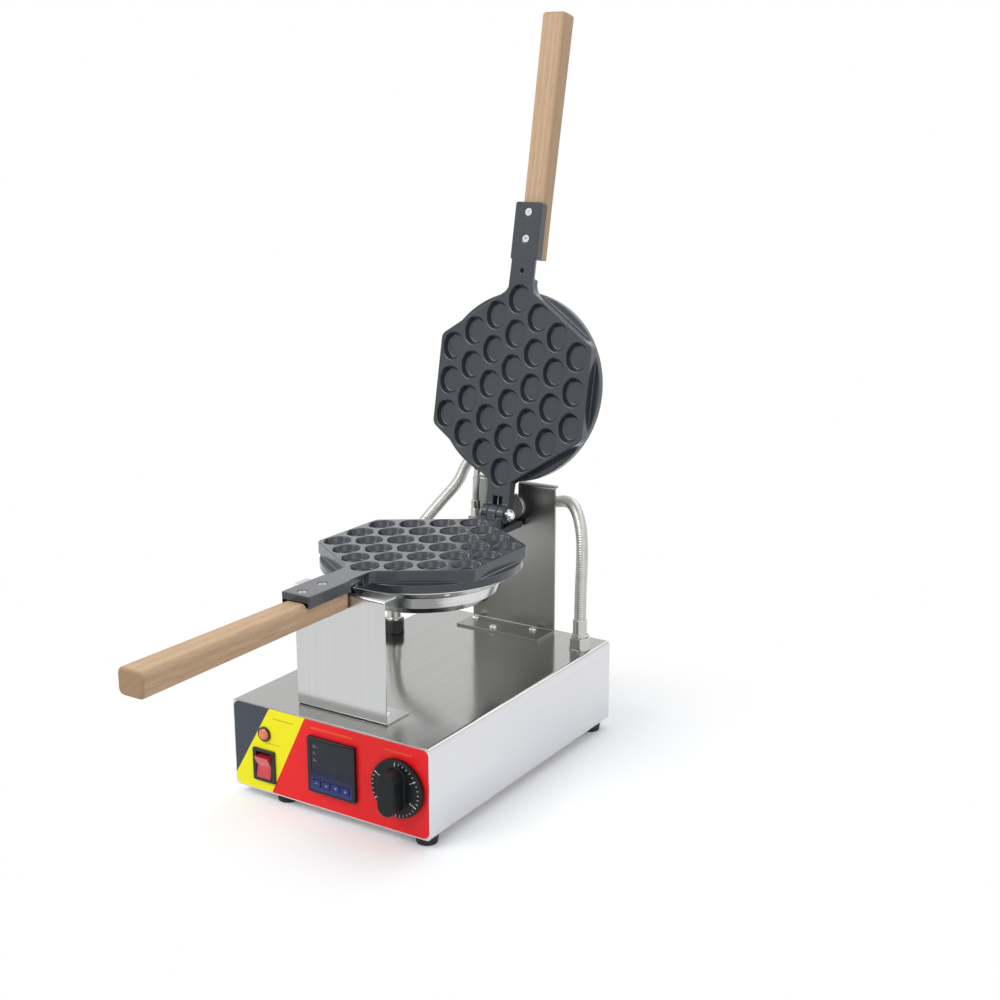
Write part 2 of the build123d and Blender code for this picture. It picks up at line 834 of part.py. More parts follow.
def make_lug(half_width):
    """A lug from the plate to the hinge axis, with a round knuckle at its end."""
    lug = side_profile(
        [(-lug_root, -half_gap), (0, -half_gap), (0, -knuckle_radius), (-lug_root, -hex_depth - 1.0)], half_width
    )
    return lug + rod_x(knuckle_radius, -half_width, half_width)


def make_lower_mould():
    """Lower mould: a middle knuckle, and a tail that the pivot hub and a conduit sit on."""
    body = make_mould_body()
    front = -knuckle_radius - knuckle_room
    root = plate_centre_y + flange_radius - 8.0
    body += make_lug(knuckle_half_width)
    body += block(-lug_half_width, lug_half_width, -lug_root, front, -flange_bottom + 1.0, -half_gap)
    tail = block(-lug_half_width, lug_half_width, root, hub_back - 1.0, -flange_bottom, -tail_drop)
    boss_y = pan_y(link_y)
    tail += rod_z(link_boss_radius, -flange_bottom, -tail_drop, link_x, boss_y)
    tail += block(link_x, 0, boss_y - link_web_half, boss_y + link_web_half, -flange_bottom, -tail_drop)
    body += tail
    body += block(-knuckle_half_width, knuckle_half_width, front, knuckle_radius - 2.0, -tail_drop - 1.0, 0)
    body -= rod_x(pin_radius + pin_fit, -30, 30)
    for inset in hub_screw_insets:
        body -= rod_z(hub_screw_diameter / 2 + screw_clearance, -flange_bottom - 1, 0, 0, hub_front + inset)
    body -= rod_z(link_hose_diameter / 2, -flange_bottom - 1, 0, link_x, boss_y)
    return cut_cells(body)


def make_upper_mould():
    """Upper mould, drawn as a lower one: two hinge cheeks with a window for the middle knuckle."""
    body = make_mould_body() + make_lug(lug_half_width)
    body -= block(-cheek_inner, cheek_inner, -lug_slot_reach, 30, -30, 30)
    body -= rod_x(pin_radius + pin_running_gap, -30, 30)
    body -= link_fitting_rod(link_fitting_radius + pin_fit, 1.5, -link_fitting_bite)
    body -= rod_z(neck_hole_radius, -neck_hole_depth, 1, 0, pan_y(neck_hole_y))
    return cut_cells(body)


def make_heater():
    """Tubular ring heater that lies in the mould's groove, with its two ends turned down."""
    z = -flange_bottom
    ring = Pos(0, plate_centre_y, z) * Torus(heater_ring_radius, heater_tube_radius)
    cut_y0 = plate_centre_y + heater_ring_radius / 2
    cut_y1 = plate_centre_y + heater_ring_radius + 2 * heater_tube_radius
    half = heater_end_spread
    ring -= block(-half, half, cut_y0, cut_y1, z - 2 * heater_tube_radius, z + 2 * heater_tube_radius)
    end_y = plate_centre_y + math.sqrt(heater_ring_radius**2 - half**2)
    for side in (-1, 1):
        ring += rod_z(heater_tube_radius - 0.5, z - heater_end_drop, z, side * half, end_y)
    return ring


def make_insulation():
    """Fibre disc between the heater and the cover."""
    top = -flange_bottom - heater_tube_radius - insulation_gap
    pad = rod_z(insulation_radius, top - insulation_thickness, top, 0, plate_centre_y)
    pad -= rod_z(stud_radius + 0.5, top - 20, top + 1, 0, plate_centre_y)
    end_y = plate_centre_y + heater_ring_radius
    pad -= block(-16, 16, end_y - 8, end_y + 20, top - 20, top + 1)
    return pad


def dish_solid(inset):
    """The solid inside the dish's outer skin, or inside its inner skin where inset is the sheet."""
    z = -flange_bottom
    top = z if inset == 0 else z + 1.0
    rim = cover_rim_radius - 3 * inset
    points = [
        (rim, top),
        (rim, z - cover_rim_depth + inset),
        (cover_shoulder_radius - inset, z - cover_shoulder_depth + 0.6 * inset),
        (cover_floor_radius + cover_corner / 2 - inset, z - cover_depth + cover_corner + 0.3 * inset),
        (cover_floor_radius - cover_corner * 0.4 - 0.6 * inset, z - cover_depth + inset),
    ]
    profile = make_face(Polyline((0, top), *points, (0, z - cover_depth + inset), close=True))
    bends = [v for v in profile.vertices() if v.X > 1.0 and v.Y < z - cover_rim_depth - 1.0]
    profile = fillet(bends, cover_round)
    return Pos(0, plate_centre_y, 0) * revolve(Plane.XZ * profile, Axis.Z)


def make_cover():
    """Spun steel dish behind the mould: rim, sloped shoulder and drum, with one vent."""
    z = -flange_bottom
    dish = dish_solid(0) - dish_solid(cover_sheet)
    dish -= rod_z(stud_radius + 0.4, z - cover_depth - 1, z, 0, plate_centre_y)
    angle = math.radians(cover_vent_angle)
    vent_x = cover_vent_reach * math.cos(angle)
    vent_y = plate_centre_y + cover_vent_reach * math.sin(angle)
    return dish - rod_z(cover_vent_radius, z - cover_depth - 1, z - cover_rim_depth - 1, vent_x, vent_y)


def make_cover_stud():
    """Stud from the mould through the dish, with its nut and washer."""
    floor = -flange_bottom - cover_depth
    stud = rod_z(stud_radius, floor - stud_nut_thickness - 3.0, -flange_bottom + 3.8, 0, plate_centre_y)
    washer_bottom = floor - stud_washer_thickness
    stud += rod_z(stud_washer_radius, washer_bottom, floor, 0, plate_centre_y)
    return stud + nut_z(stud_nut_flats, washer_bottom - stud_nut_thickness, washer_bottom, 0, plate_centre_y)


def make_thermocouple():
    """Sheathed probe clipped to the mould's back, inside the heater ring."""
    z = -flange_bottom
    y = plate_centre_y
    probe = rod_y(probe_radius, y - probe_front, y + probe_back, probe_x, z - probe_radius)
    return probe + block(
        probe_x - clip_half_width,
        probe_x + clip_half_width,
        y + clip_start,
        y + clip_start + clip_length,
        z - clip_height,
        z,
    )


def make_handle():
    """Square wooden grip with rounded edges, seated in the arm's channel and thicker at its free end."""
    y0 = pan_y(handle_end_y)
    y1 = pan_y(front_bracket_y - handle_bracket_gap)
    y2 = pan_y(arm_front_y) - handle_straight
    seat = RectangleRounded(handle_width, handle_height, handle_corner)
    end = RectangleRounded(handle_width + handle_swell, handle_height + handle_swell, handle_corner)
    middle_z = -arm_plate - handle_height / 2
    grip = along_y(extrude(seat, amount=y1 - y2), 0, y1, middle_z)
    grip += along_y(loft([seat, Pos(0, 0, y2 - y0) * end], ruled=True), 0, y2, middle_z)
    grip = fillet(grip.edges().group_by(Axis.Y)[0], 2.5)
    for y in handle_screw_y:
        grip -= rod_z(
            handle_screw_diameter / 2 + screw_clearance, -arm_plate - handle_screw_length, 1, 0, pan_y(y)
        )
    return grip


def make_handle_screws():
    """Two countersunk screws from the mating side into the wood."""
    screws = []
    for y in handle_screw_y:
        head = rod_z(handle_screw_head / 2, -2.6, -0.6, 0, pan_y(y))
        shank = rod_z(handle_screw_diameter / 2, -handle_screw_length, -1.0, 0, pan_y(y))
        screws.append(head + shank)
    return Compound(children=screws)


# ---------------------------------------------------------------- pivot and hinge
def make_hub():
    """Pivot hub: a block on the lower mould's tail, with the shaft that turns in the back post's slot."""
    hub = block(-hub_half_width, hub_half_width, hub_front, hub_back, -tail_drop, hub_top)
    hub = fillet(hub.edges().filter_by(Axis.Y).group_by(Axis.Z)[-1], 2.5)
    hub += rod_y(shaft_radius, hub_back - 1.0, shaft_end)
    for inset in hub_screw_insets:
        hole = hub_screw_diameter / 2 + screw_clearance
        hub -= rod_z(hole, -tail_drop - 1, -tail_drop + hub_screw_bite + 0.5, 0, hub_front + inset)
    return hub


def make_hub_screws():
    """Cap screws up through the tail into the hub."""
    screws = []
    for inset in hub_screw_insets:
        y = hub_front + inset
        head = rod_z(hub_screw_head / 2, -flange_bottom - hub_screw_head_height, -flange_bottom, 0, y)
        shank = rod_z(hub_screw_diameter / 2, -flange_bottom, -tail_drop + hub_screw_bite, 0, y)
        screws.append(head + shank)
    return Compound(children=screws)


def make_pivot_washers():
    """Plain washers on the shaft, one on each side of the back post."""
    washers = []
    for y in (hub_back, post_back + washer_gap):
        washer = rod_y(washer_radius, y, y + washer_thickness)
        washers.append(washer - rod_y(shaft_radius + pin_fit, y - 1, y + washer_thickness + 1))
    return Compound(children=washers)


def make_pivot_nut():
    """Nut on the shaft behind the post."""
    y0 = post_back + washer_gap + washer_thickness
    nut = along_y(nut_z(pivot_nut_flats, 0, pivot_nut_thickness), 0, y0 + pivot_nut_thickness, 0)
    return nut - rod_y(shaft_radius + pin_fit, y0 - 1, y0 + pivot_nut_thickness + 1)


def make_hinge_pin():
    """Hinge pin through the knuckle and both cheeks, with a low head at the left."""
    pin = rod_x(pin_radius, -pin_outer - 1.0, pin_outer + pin_thread)
    head = rod_x(pin_head_radius, -pin_outer - pin_head_thickness, -pin_outer)
    return pin + chamfer(head.edges().group_by(Axis.X)[0], 0.8)


def make_dome_nut():
    """Dome nut at the right end of the hinge pin."""
    nut = nut_z(dome_nut_flats, 0, dome_nut_base)
    dome = Pos(0, 0, dome_nut_base - 0.6) * Sphere(dome_nut_radius)
    nut += dome & Pos(0, 0, dome_nut_base + 4.9) * Box(12, 12, 10)
    nut = Pos(pin_outer, 0, 0) * Rot(0, 90, 0) * nut
    return nut - rod_x(pin_radius + pin_fit, pin_outer - 1, pin_outer + pin_thread + 0.2)


# ---------------------------------------------------------------- hoses
def hose_points(place, rise, route):
    """The corners of a hose's path: up from its ferrule, then along its route."""
    foot_z = housing_top + gland_height + ferrule_length
    points = [(*place, foot_z), (*place, foot_z + rise)]
    return points + [(x, housing_length + y, housing_top + z) for x, y, z in route]


def link_hose_points():
    """The short conduit's path: up from the head's connector, then to the fitting in the lid's rim."""
    top = (lid_place * Pos(-link_x, link_rim_y + link_fitting_length, -link_fitting_depth)).position
    bend_z = top.Z - (top.Y - link_y) / math.tan(math.radians(open_angle - 90.0))
    foot_z = axis_z - tail_drop + link_nut_height + link_collar_height
    return [(link_x, link_y, foot_z), (link_x, link_y, bend_z), tuple(top)]


def hose_tube(points, diameter, name):
    """A hose of straight runs joined by the largest tangent arcs that they allow."""
    corners = [Vector(*p) for p in points]
    radii = []
    for a, b, c in zip(corners, corners[1:], corners[2:]):
        turn = (b - a).get_angle(c - b)
        run = min((b - a).length, (c - b).length)
        radii.append(0.45 * run / math.tan(math.radians(turn) / 2))
    path = FilletPolyline(*points, radius=radii)
    section = Plane(origin=path @ 0, z_dir=path % 0) * Circle(diameter / 2)
    tube = sweep(section, path=path)
    ideal = math.pi * diameter**2 / 4 * path.length
    print(name, "length", round(path.length, 1), "radii", [round(r) for r in radii],
          "volume share", round(tube.volume / ideal, 4))
    return tube


def gland(place):
    """Hose gland on the housing top: washer, hex body and the stub through the sheet."""
    x, y = place
    body = rod_z(gland_washer_radius, housing_top + seat_gap, housing_top + gland_washer_thickness, x, y)
    body += nut_z(gland_flats, housing_top + gland_washer_thickness, housing_top + gland_height, x, y)
    return body + rod_z(gland_stub_radius, inner_top - gland_stub_length, housing_top + seat_gap, x, y)


def locknut(place):
    """Nut that holds a gland from inside the housing."""
    x, y = place
    nut = nut_z(locknut_flats, inner_top - locknut_thickness, inner_top - seat_gap, x, y)
    return nut - rod_z(gland_stub_radius + pin_fit, inner_top - 10, inner_top + 1, x, y)


def ferrule(place):
    """Crimped ferrule at the foot of a hose."""
    x, y = place
    z0 = housing_top + gland_height
    body = rod_z(ferrule_radius, z0, z0 + ferrule_length, x, y)
    return body + rod_z(ferrule_radius + ferrule_bead, z0, z0 + 2.5, x, y)


def make_elbow():
    """Elbow on the shaft's end: cap, leg to the right and a union nut for the hose."""
    y0 = shaft_end - shaft_thread * 0.4 + 1.0
    y1 = shaft_end + elbow_cap + elbow_radius
    centre_y = y1 - elbow_radius
    cap = rod_y(elbow_radius, y0, centre_y) + Pos(0, centre_y, 0) * Sphere(elbow_radius)
    cap -= rod_y(shaft_radius + pin_fit, y0 - 1, shaft_end)
    leg = extrude(Circle(elbow_leg_radius), amount=elbow_leg_length)
    leg += Pos(0, 0, elbow_leg_length - elbow_nut_thickness - 3.0) * extrude(
        RegularPolygon(elbow_nut_flats / 2, 6, major_radius=False), amount=elbow_nut_thickness
    )
    leg = Pos(0, centre_y, 0) * Rot(0, 90 - elbow_leg_rise, 0) * leg
    return cap + leg


def make_link_connector():
    """Small straight connector on the head for the short conduit."""
    y = pan_y(link_y)
    body = nut_z(link_nut_flats, -tail_drop, -tail_drop + link_nut_height, link_x, y)
    top = -tail_drop + link_nut_height + link_collar_height
    body += rod_z(link_hose_diameter / 2 + 1.2, -tail_drop + link_nut_height, top, link_x, y)
    stem = rod_z(link_hose_diameter / 2 - 0.1, -flange_bottom, -tail_drop, link_x, y)
    return body + stem


def link_fitting_rod(radius, top, bottom):
    """A round bar in the upper mould's rim that points to the hinge, between two heights over the rim."""
    return rod_y(radius, link_rim_y + bottom, link_rim_y + top, -link_x, -link_fitting_depth)


def make_lid_fitting():
    """Straight fitting on the side of the upper dish, where the left hose ends."""
    fitting = rod_z(lid_fitting_flats / 2 + 0.6, lid_fitting_reach - 16.0, lid_fitting_reach)
    fitting += nut_z(lid_fitting_flats + 2.0, lid_fitting_reach - 13.0, lid_fitting_reach - 13.0 + lid_fitting_nut)
    turn = Pos(0, plate_centre_y, -lid_fitting_depth) * Rot(0, 0, lid_fitting_angle) * Rot(0, 90, 0)
    stem = rod_z(lid_fitting_stem_radius, insulation_radius + 0.5, lid_fitting_reach - 10.0)
    return (turn * fitting - dish_solid(0)) + turn * stem


def lid_fitting_hole():
    """The hole in the upper dish for the fitting's stem."""
    turn = Pos(0, plate_centre_y, -lid_fitting_depth) * Rot(0, 0, lid_fitting_angle) * Rot(0, 90, 0)
    return turn * rod_z(lid_fitting_stem_radius + screw_clearance, cover_floor_radius - 8.0, cover_rim_radius)


# ---------------------------------------------------------------- assembly
head_place = Pos(0, hinge_y, axis_z)
lid_place = head_place * Rot(-open_angle, 0, 0) * Rot(0, 180, 0)

parts = {}
cords = {}

parts["housing_cover"] = make_housing()
parts["bottom_plate"] = make_bottom_plate()
parts["rubber_feet"] = make_feet()
parts["foot_screws"] = make_foot_screws()
parts["control_panel"] = make_panel()
parts["indicator_lens"], parts["indicator_body"] = make_lamp()
parts["switch_frame"], parts["switch_rocker"], rocker_pivot = make_switch()
parts["controller_case"], parts["controller_screen"], keys = make_controller()
for number, key in enumerate(keys, start=1):
    parts[f"key_{number}"] = key
parts["timer_body"], parts["timer_knob"] = make_timer()
parts["heater_relay"] = make_relay()
parts["terminal_block"] = make_terminal_block()
parts["mains_cord_gland"] = make_mains_gland()
parts["front_bracket"] = make_front_bracket()
parts["front_bracket_screws"] = make_bracket_screws(front_bracket_screws_at, bracket_sheet)
parts["rear_bracket"] = make_rear_bracket()
parts["rear_bracket_screws"] = make_bracket_screws(rear_bracket_screws_at, rear_bracket_sheet)
parts["gland_bodies"] = Compound(children=[gland(right_gland), gland(left_gland)])
parts["gland_locknuts"] = Compound(children=[locknut(right_gland), locknut(left_gland)])
parts["hose_ferrules"] = Compound(children=[ferrule(right_gland), ferrule(left_gland)])

parts["lower_mould"] = head_place * make_lower_mould()
parts["lower_heater"] = head_place * make_heater()
parts["lower_insulation"] = head_place * make_insulation()
parts["lower_cover"] = head_place * make_cover()
parts["lower_cover_stud"] = head_place * make_cover_stud()
parts["lower_thermocouple"] = head_place * make_thermocouple()
parts["lower_handle"] = head_place * make_handle()
parts["lower_handle_screws"] = head_place * make_handle_screws()
parts["pivot_hub"] = head_place * make_hub()
parts["hub_screws"] = head_place * make_hub_screws()
parts["pivot_washers"] = head_place * make_pivot_washers()
parts["pivot_nut"] = head_place * make_pivot_nut()
parts["hinge_pin"] = head_place * make_hinge_pin()
parts["hinge_dome_nut"] = head_place * make_dome_nut()
parts["elbow_connector"] = head_place * make_elbow()
parts["link_connector"] = head_place * make_link_connector()

lid_fitting = make_lid_fitting()
link_fitting = link_fitting_rod(link_fitting_radius, link_fitting_length, -link_fitting_bite)
parts["upper_mould"] = lid_place * make_upper_mould()
parts["upper_heater"] = lid_place * make_heater()
parts["upper_insulation"] = lid_place * make_insulation()
parts["upper_cover"] = lid_place * (make_cover() - lid_fitting_hole())
parts["upper_cover_stud"] = lid_place * make_cover_stud()
parts["upper_thermocouple"] = lid_place * make_thermocouple()
parts["upper_handle"] = lid_place * make_handle()
parts["upper_handle_screws"] = lid_place * make_handle_screws()
parts["lid_connectors"] = Compound(children=[lid_place * lid_fitting, lid_place * link_fitting])

hose_right_path = hose_points(right_gland, hose_right_rise, hose_right_route)
hose_left_path = hose_points(left_gland, hose_left_rise, hose_left_route)
cords["hose_right"] = hose_tube(hose_right_path, hose_diameter, "hose_right")
cords["hose_left"] = hose_tube(hose_left_path, hose_diameter, "hose_left")
cords["link_hose"] = hose_tube(link_hose_points(), link_hose_diameter, "link_hose")

boxes = [shape.bounding_box() for shape in parts.values()]
middle_x = (min(b.min.X for b in boxes) + max(b.max.X for b in boxes)) / 2
middle_y = (min(b.min.Y for b in boxes) + max(b.max.Y for b in boxes)) / 2
shift = Pos(-middle_x, -middle_y, 0)
print("origin shift", [round(v, 4) for v in shift.position])
print("hinge", round(hinge_y, 3), round(axis_z, 3), "rocker", rocker_pivot)
os.makedirs("parts", exist_ok=True)
for name, shape in (parts | cords).items():
    export_step(shift * shape, f"parts/{name}.step")
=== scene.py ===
"""Looks of a benchtop egg waffle maker: a steel housing that carries a folding pan on a roll pivot."""
import json
import logging
import math
from collections.abc import Callable, Sequence
from dataclasses import dataclass, field
from enum import Enum
from typing import NamedTuple

import bmesh
import bpy
import numpy as np
from mathutils import Matrix, Vector


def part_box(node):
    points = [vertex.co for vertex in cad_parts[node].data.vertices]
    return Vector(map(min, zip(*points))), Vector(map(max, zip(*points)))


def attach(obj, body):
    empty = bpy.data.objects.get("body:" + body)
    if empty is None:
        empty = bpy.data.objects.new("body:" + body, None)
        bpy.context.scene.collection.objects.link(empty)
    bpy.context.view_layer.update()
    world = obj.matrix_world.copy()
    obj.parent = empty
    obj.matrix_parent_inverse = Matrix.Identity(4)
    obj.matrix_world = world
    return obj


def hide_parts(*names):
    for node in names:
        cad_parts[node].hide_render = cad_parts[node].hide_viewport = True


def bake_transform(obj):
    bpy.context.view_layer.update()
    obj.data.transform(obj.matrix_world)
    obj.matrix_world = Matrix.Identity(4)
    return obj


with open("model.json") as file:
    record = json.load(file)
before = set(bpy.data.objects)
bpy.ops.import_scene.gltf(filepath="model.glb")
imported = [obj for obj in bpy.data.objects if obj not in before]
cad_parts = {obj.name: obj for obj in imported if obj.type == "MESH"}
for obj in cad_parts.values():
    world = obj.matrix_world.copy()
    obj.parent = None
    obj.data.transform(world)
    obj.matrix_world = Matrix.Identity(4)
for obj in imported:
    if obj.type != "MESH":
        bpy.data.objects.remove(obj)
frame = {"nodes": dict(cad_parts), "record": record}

logging.basicConfig(level=logging.INFO, format="%(message)s")
LOG = logging.getLogger("egg_waffle_maker")

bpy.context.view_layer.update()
MM = 0.001
HOUSING_LOW, HOUSING_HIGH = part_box("housing_cover")
FRONT_Y = HOUSING_LOW.y
HINGE_BACK = 250.7
PARTING_HEIGHT = 201.7
HINGE = Vector((0.0, FRONT_Y + HINGE_BACK * MM, PARTING_HEIGHT * MM))
OPEN_ANGLE = math.radians(101.5)
PLATE_REACH = 117.1 * MM
SHARP_TURN = 35.0
ROUND_TURN = 60.0
FLAT_TURN = 0.3
WELD = 0.000002
FULL_WEIGHT = 100
WHITE = (1.0, 1.0, 1.0)

Colour = tuple[float, float, float]


def at(x: float, y: float, z: float) -> Vector:
    """A point so many millimetres right of the middle, behind the housing's front and above the bench."""
    return Vector((x * MM, FRONT_Y + y * MM, z * MM))


def srgb(*chip: int) -> Colour:
    """A paint chip's red, green and blue, 0 to 255, as the linear values that a shader takes."""
    parts = [value / 255 for value in chip]
    return tuple(part / 12.92 if part <= 0.04045 else ((part + 0.055) / 1.055) ** 2.4 for part in parts)


def times(tone: Colour, share: float) -> Colour:
    """A colour made darker or paler by a factor."""
    red, green, blue = tone
    return share * red, share * green, share * blue


# ---------------- shader maths


class Pattern(NamedTuple):
    """A noise: its repeats per metre, its octaves and the weight of each finer one."""

    scale: float
    detail: float = 3.0
    rough: float = 0.5


class Signal:
    """A value socket, on which arithmetic adds Math nodes."""

    def __init__(self, graph: "Graph", socket: bpy.types.NodeSocket) -> None:
        """Keeps the socket and the graph that it belongs to."""
        self.graph = graph
        self.socket = socket

    def _maths(self, operation: str, first: object, second: object = 0.0) -> "Signal":
        """One Math node on two values."""
        made = self.graph.node("ShaderNodeMath", {"operation": operation}, {0: first, 1: second})
        return Signal(self.graph, made.outputs[0])

    def __add__(self, other: object) -> "Signal":
        """Sum."""
        return self._maths("ADD", self, other)

    __radd__ = __add__

    def __sub__(self, other: object) -> "Signal":
        """Difference."""
        return self._maths("SUBTRACT", self, other)

    def __rsub__(self, other: object) -> "Signal":
        """Difference the other way round."""
        return self._maths("SUBTRACT", other, self)

    def __mul__(self, other: object) -> "Signal":
        """Product."""
        return self._maths("MULTIPLY", self, other)

    __rmul__ = __mul__

    def __truediv__(self, other: object) -> "Signal":
        """Quotient."""
        return self._maths("DIVIDE", self, other)

    def __pow__(self, other: object) -> "Signal":
        """Power."""
        return self._maths("POWER", self, other)

    def __abs__(self) -> "Signal":
        """The value without its sign."""
        return self._maths("ABSOLUTE", self)

    def wave(self) -> "Signal":
        """A sine of the value, moved to run from 0 to 1."""
        return self._maths("SINE", self) * 0.5 + 0.5

    def higher(self, other: object) -> "Signal":
        """The higher of two values."""
        return self._maths("MAXIMUM", self, other)

    def above(self, edge: float, soft: float) -> "Signal":
        """A mask that is 1 where the value lies above an edge.

        Args:
            edge: The value at which the mask is half.
            soft: How far the change is spread.

        Returns:
            The mask, 0 to 1.
        """
        made = self.graph.node(
            "ShaderNodeMapRange",
            {"interpolation_type": "SMOOTHSTEP", "clamp": True},
            {"Value": self, "From Min": edge - soft / 2, "From Max": edge + soft / 2},
        )
        return Signal(self.graph, made.outputs[0])

    def below(self, edge: float, soft: float) -> "Signal":
        """A mask that is 1 where the value lies below an edge."""
        return 1 - self.above(edge, soft)

    def within(self, low: float, high: float, soft: float) -> "Signal":
        """A mask that is 1 between two values."""
        return self.above(low, soft) * self.below(high, soft)


class Graph:
    """A node tree under construction."""

    def __init__(self, tree: bpy.types.NodeTree) -> None:
        """Empties the tree."""
        self.tree = tree
        tree.nodes.clear()

    def node(self, kind: str, settings: dict | None = None, inputs: dict | None = None) -> bpy.types.Node:
        """Adds any node.

        Args:
            kind: The node's type.
            settings: Its own properties, which are set first.
            inputs: Values, sockets or signals by the input's name or number.

        Returns:
            The node.
        """
        made = self.tree.nodes.new(kind)
        for key, value in (settings or {}).items():
            setattr(made, key, value)
        for key, value in (inputs or {}).items():
            self.feed(made.inputs[key], value)
        return made

    def feed(self, socket: bpy.types.NodeSocket, value: object) -> None:
        """Links or sets one input.

        Args:
            socket: The input.
            value: A signal or socket to link, or a value to set.
        """
        if isinstance(value, Signal):
            value = value.socket
        if isinstance(value, bpy.types.NodeSocket):
            self.tree.links.new(value, socket)
        elif isinstance(value, tuple) and len(value) == 3 and len(socket.default_value) == 4:
            socket.default_value = (*value, 1.0)
        else:
            socket.default_value = value

    def rays(self, *kinds: str) -> Signal:
        """A mask that is 1 for some kinds of ray.

        Args:
            kinds: Their names, as the Light Path node has them.

        Returns:
            The mask, 0 or 1.
        """
        path = self.node("ShaderNodeLightPath")
        mask, *others = (Signal(self, path.outputs[kind]) for kind in kinds)
        for other in others:
            mask = mask.higher(other)
        return mask

    def either(self, mask: object, under: bpy.types.Node, over: bpy.types.Node) -> bpy.types.NodeSocket:
        """Mixes two shaders by a mask."""
        shaders = {0: mask, 1: under.outputs[0], 2: over.outputs[0]}
        return self.node("ShaderNodeMixShader", {}, shaders).outputs[0]


class Shade(Graph):
    """A material under construction, with one Principled surface."""

    def __init__(self, name: str) -> None:
        """Starts the material.

        Args:
            name: The material's name.
        """
        self.material = bpy.data.materials.new(name)
        self.material.use_nodes = True
        super().__init__(self.material.node_tree)
        self.surface = self.node("ShaderNodeBsdfPrincipled")
        self.output = self.node("ShaderNodeOutputMaterial", {}, {"Surface": self.surface.outputs[0]})
        self.place = self.node("ShaderNodeTexCoord").outputs["Object"]

    def set(self, **constants: object) -> None:
        """Feeds the surface's own sockets, named with _ for a space."""
        for name, value in constants.items():
            self.feed(self.surface.inputs[name.replace("_", " ")], value)

    def mapped(self, scale: tuple = (1, 1, 1), turn: float = 0, move: Sequence = (0, 0, 0)) -> object:
        """Object coordinates, first moved and turned to a piece and then scaled.

        Args:
            scale: Repeats per metre along each axis.
            turn: The piece's own turn about X, in radians.
            move: The piece's own place, in metres.

        Returns:
            The vector socket.
        """
        settled = self.node(
            "ShaderNodeMapping",
            {"vector_type": "TEXTURE"},
            {"Vector": self.place, "Location": tuple(move), "Rotation": (turn, 0.0, 0.0)},
        )
        factors = {0: settled.outputs[0], 1: scale}
        return self.node("ShaderNodeVectorMath", {"operation": "MULTIPLY"}, factors).outputs[0]

    def axes(self, vector: object = None) -> list[Signal]:
        """The x, y and z of a vector, or of the place on the piece."""
        made = self.node("ShaderNodeSeparateXYZ", {}, {0: vector or self.place})
        return [Signal(self, socket) for socket in made.outputs]

    def noise(self, pattern: Pattern, vector: object = None) -> Signal:
        """Fractal noise, 0 to 1.

        Args:
            pattern: Its scale, detail and roughness.
            vector: Where it is read, or the place on the piece.

        Returns:
            The noise's value.
        """
        scale, detail, rough = pattern
        made = self.node(
            "ShaderNodeTexNoise",
            {},
            {"Vector": vector or self.place, "Scale": scale, "Detail": detail, "Roughness": rough},
        )
        return Signal(self, made.outputs[0])

    def noises(self, *patterns: Pattern) -> list[Signal]:
        """Several noises at the place on the piece."""
        return [self.noise(pattern) for pattern in patterns]

    def rings(self, where: Signal) -> Signal:
        """Noise along one value, as turning marks have it.

        Args:
            where: The value that it is read along.

        Returns:
            The noise's value, 0 to 1.
        """
        made = self.node(
            "ShaderNodeTexNoise",
            {"noise_dimensions": "1D"},
            {"W": where, "Scale": 1.0, "Detail": 3.0, "Roughness": 0.6},
        )
        return Signal(self, made.outputs[0])

    def blend(self, mask: object, under: object, over: object) -> bpy.types.NodeSocket:
        """Mixes two colours: the first where the mask is 0 and the second where it is 1."""
        kind = {"data_type": "RGBA", "clamp_factor": True}
        return self.node("ShaderNodeMix", kind, {0: mask, 6: under, 7: over}).outputs[2]

    def bump(self, height: object, depth: float, strength: float, under: object = None) -> object:
        """Relief from a height.

        Args:
            height: The height, 0 to 1.
            depth: What a height of 1 stands for, in metres.
            strength: How much of it shows.
            under: A normal that it adds to.

        Returns:
            The normal's socket.
        """
        inputs = {"Height": height, "Distance": depth, "Strength": strength}
        if under is not None:
            inputs["Normal"] = under
        return self.node("ShaderNodeBump", {}, inputs).outputs[0]


# ---------------- finishes


class Grain(Enum):
    """The direction in which a sheet was brushed, as repeats per metre along each axis."""

    ACROSS = (3, 900, 900)
    ALONG = (900, 3, 900)
    UPRIGHT = (900, 900, 3)


@dataclass(frozen=True)
class Finish:
    """A surface finish that is made once and shared by the pieces that have it."""

    name: str
    slot: str

    def material(self) -> bpy.types.Material:
        """The finish's material, built on first use.

        Returns:
            The material.
        """
        known = bpy.data.materials.get(self.name)
        if known is not None:
            return known
        shade = Shade(self.name)
        self.paint(shade)
        return shade.material

    def paint(self, shade: Shade) -> None:
        """Gives the surface its colour, gloss and relief.

        Args:
            shade: The material under construction.
        """
        raise NotImplementedError


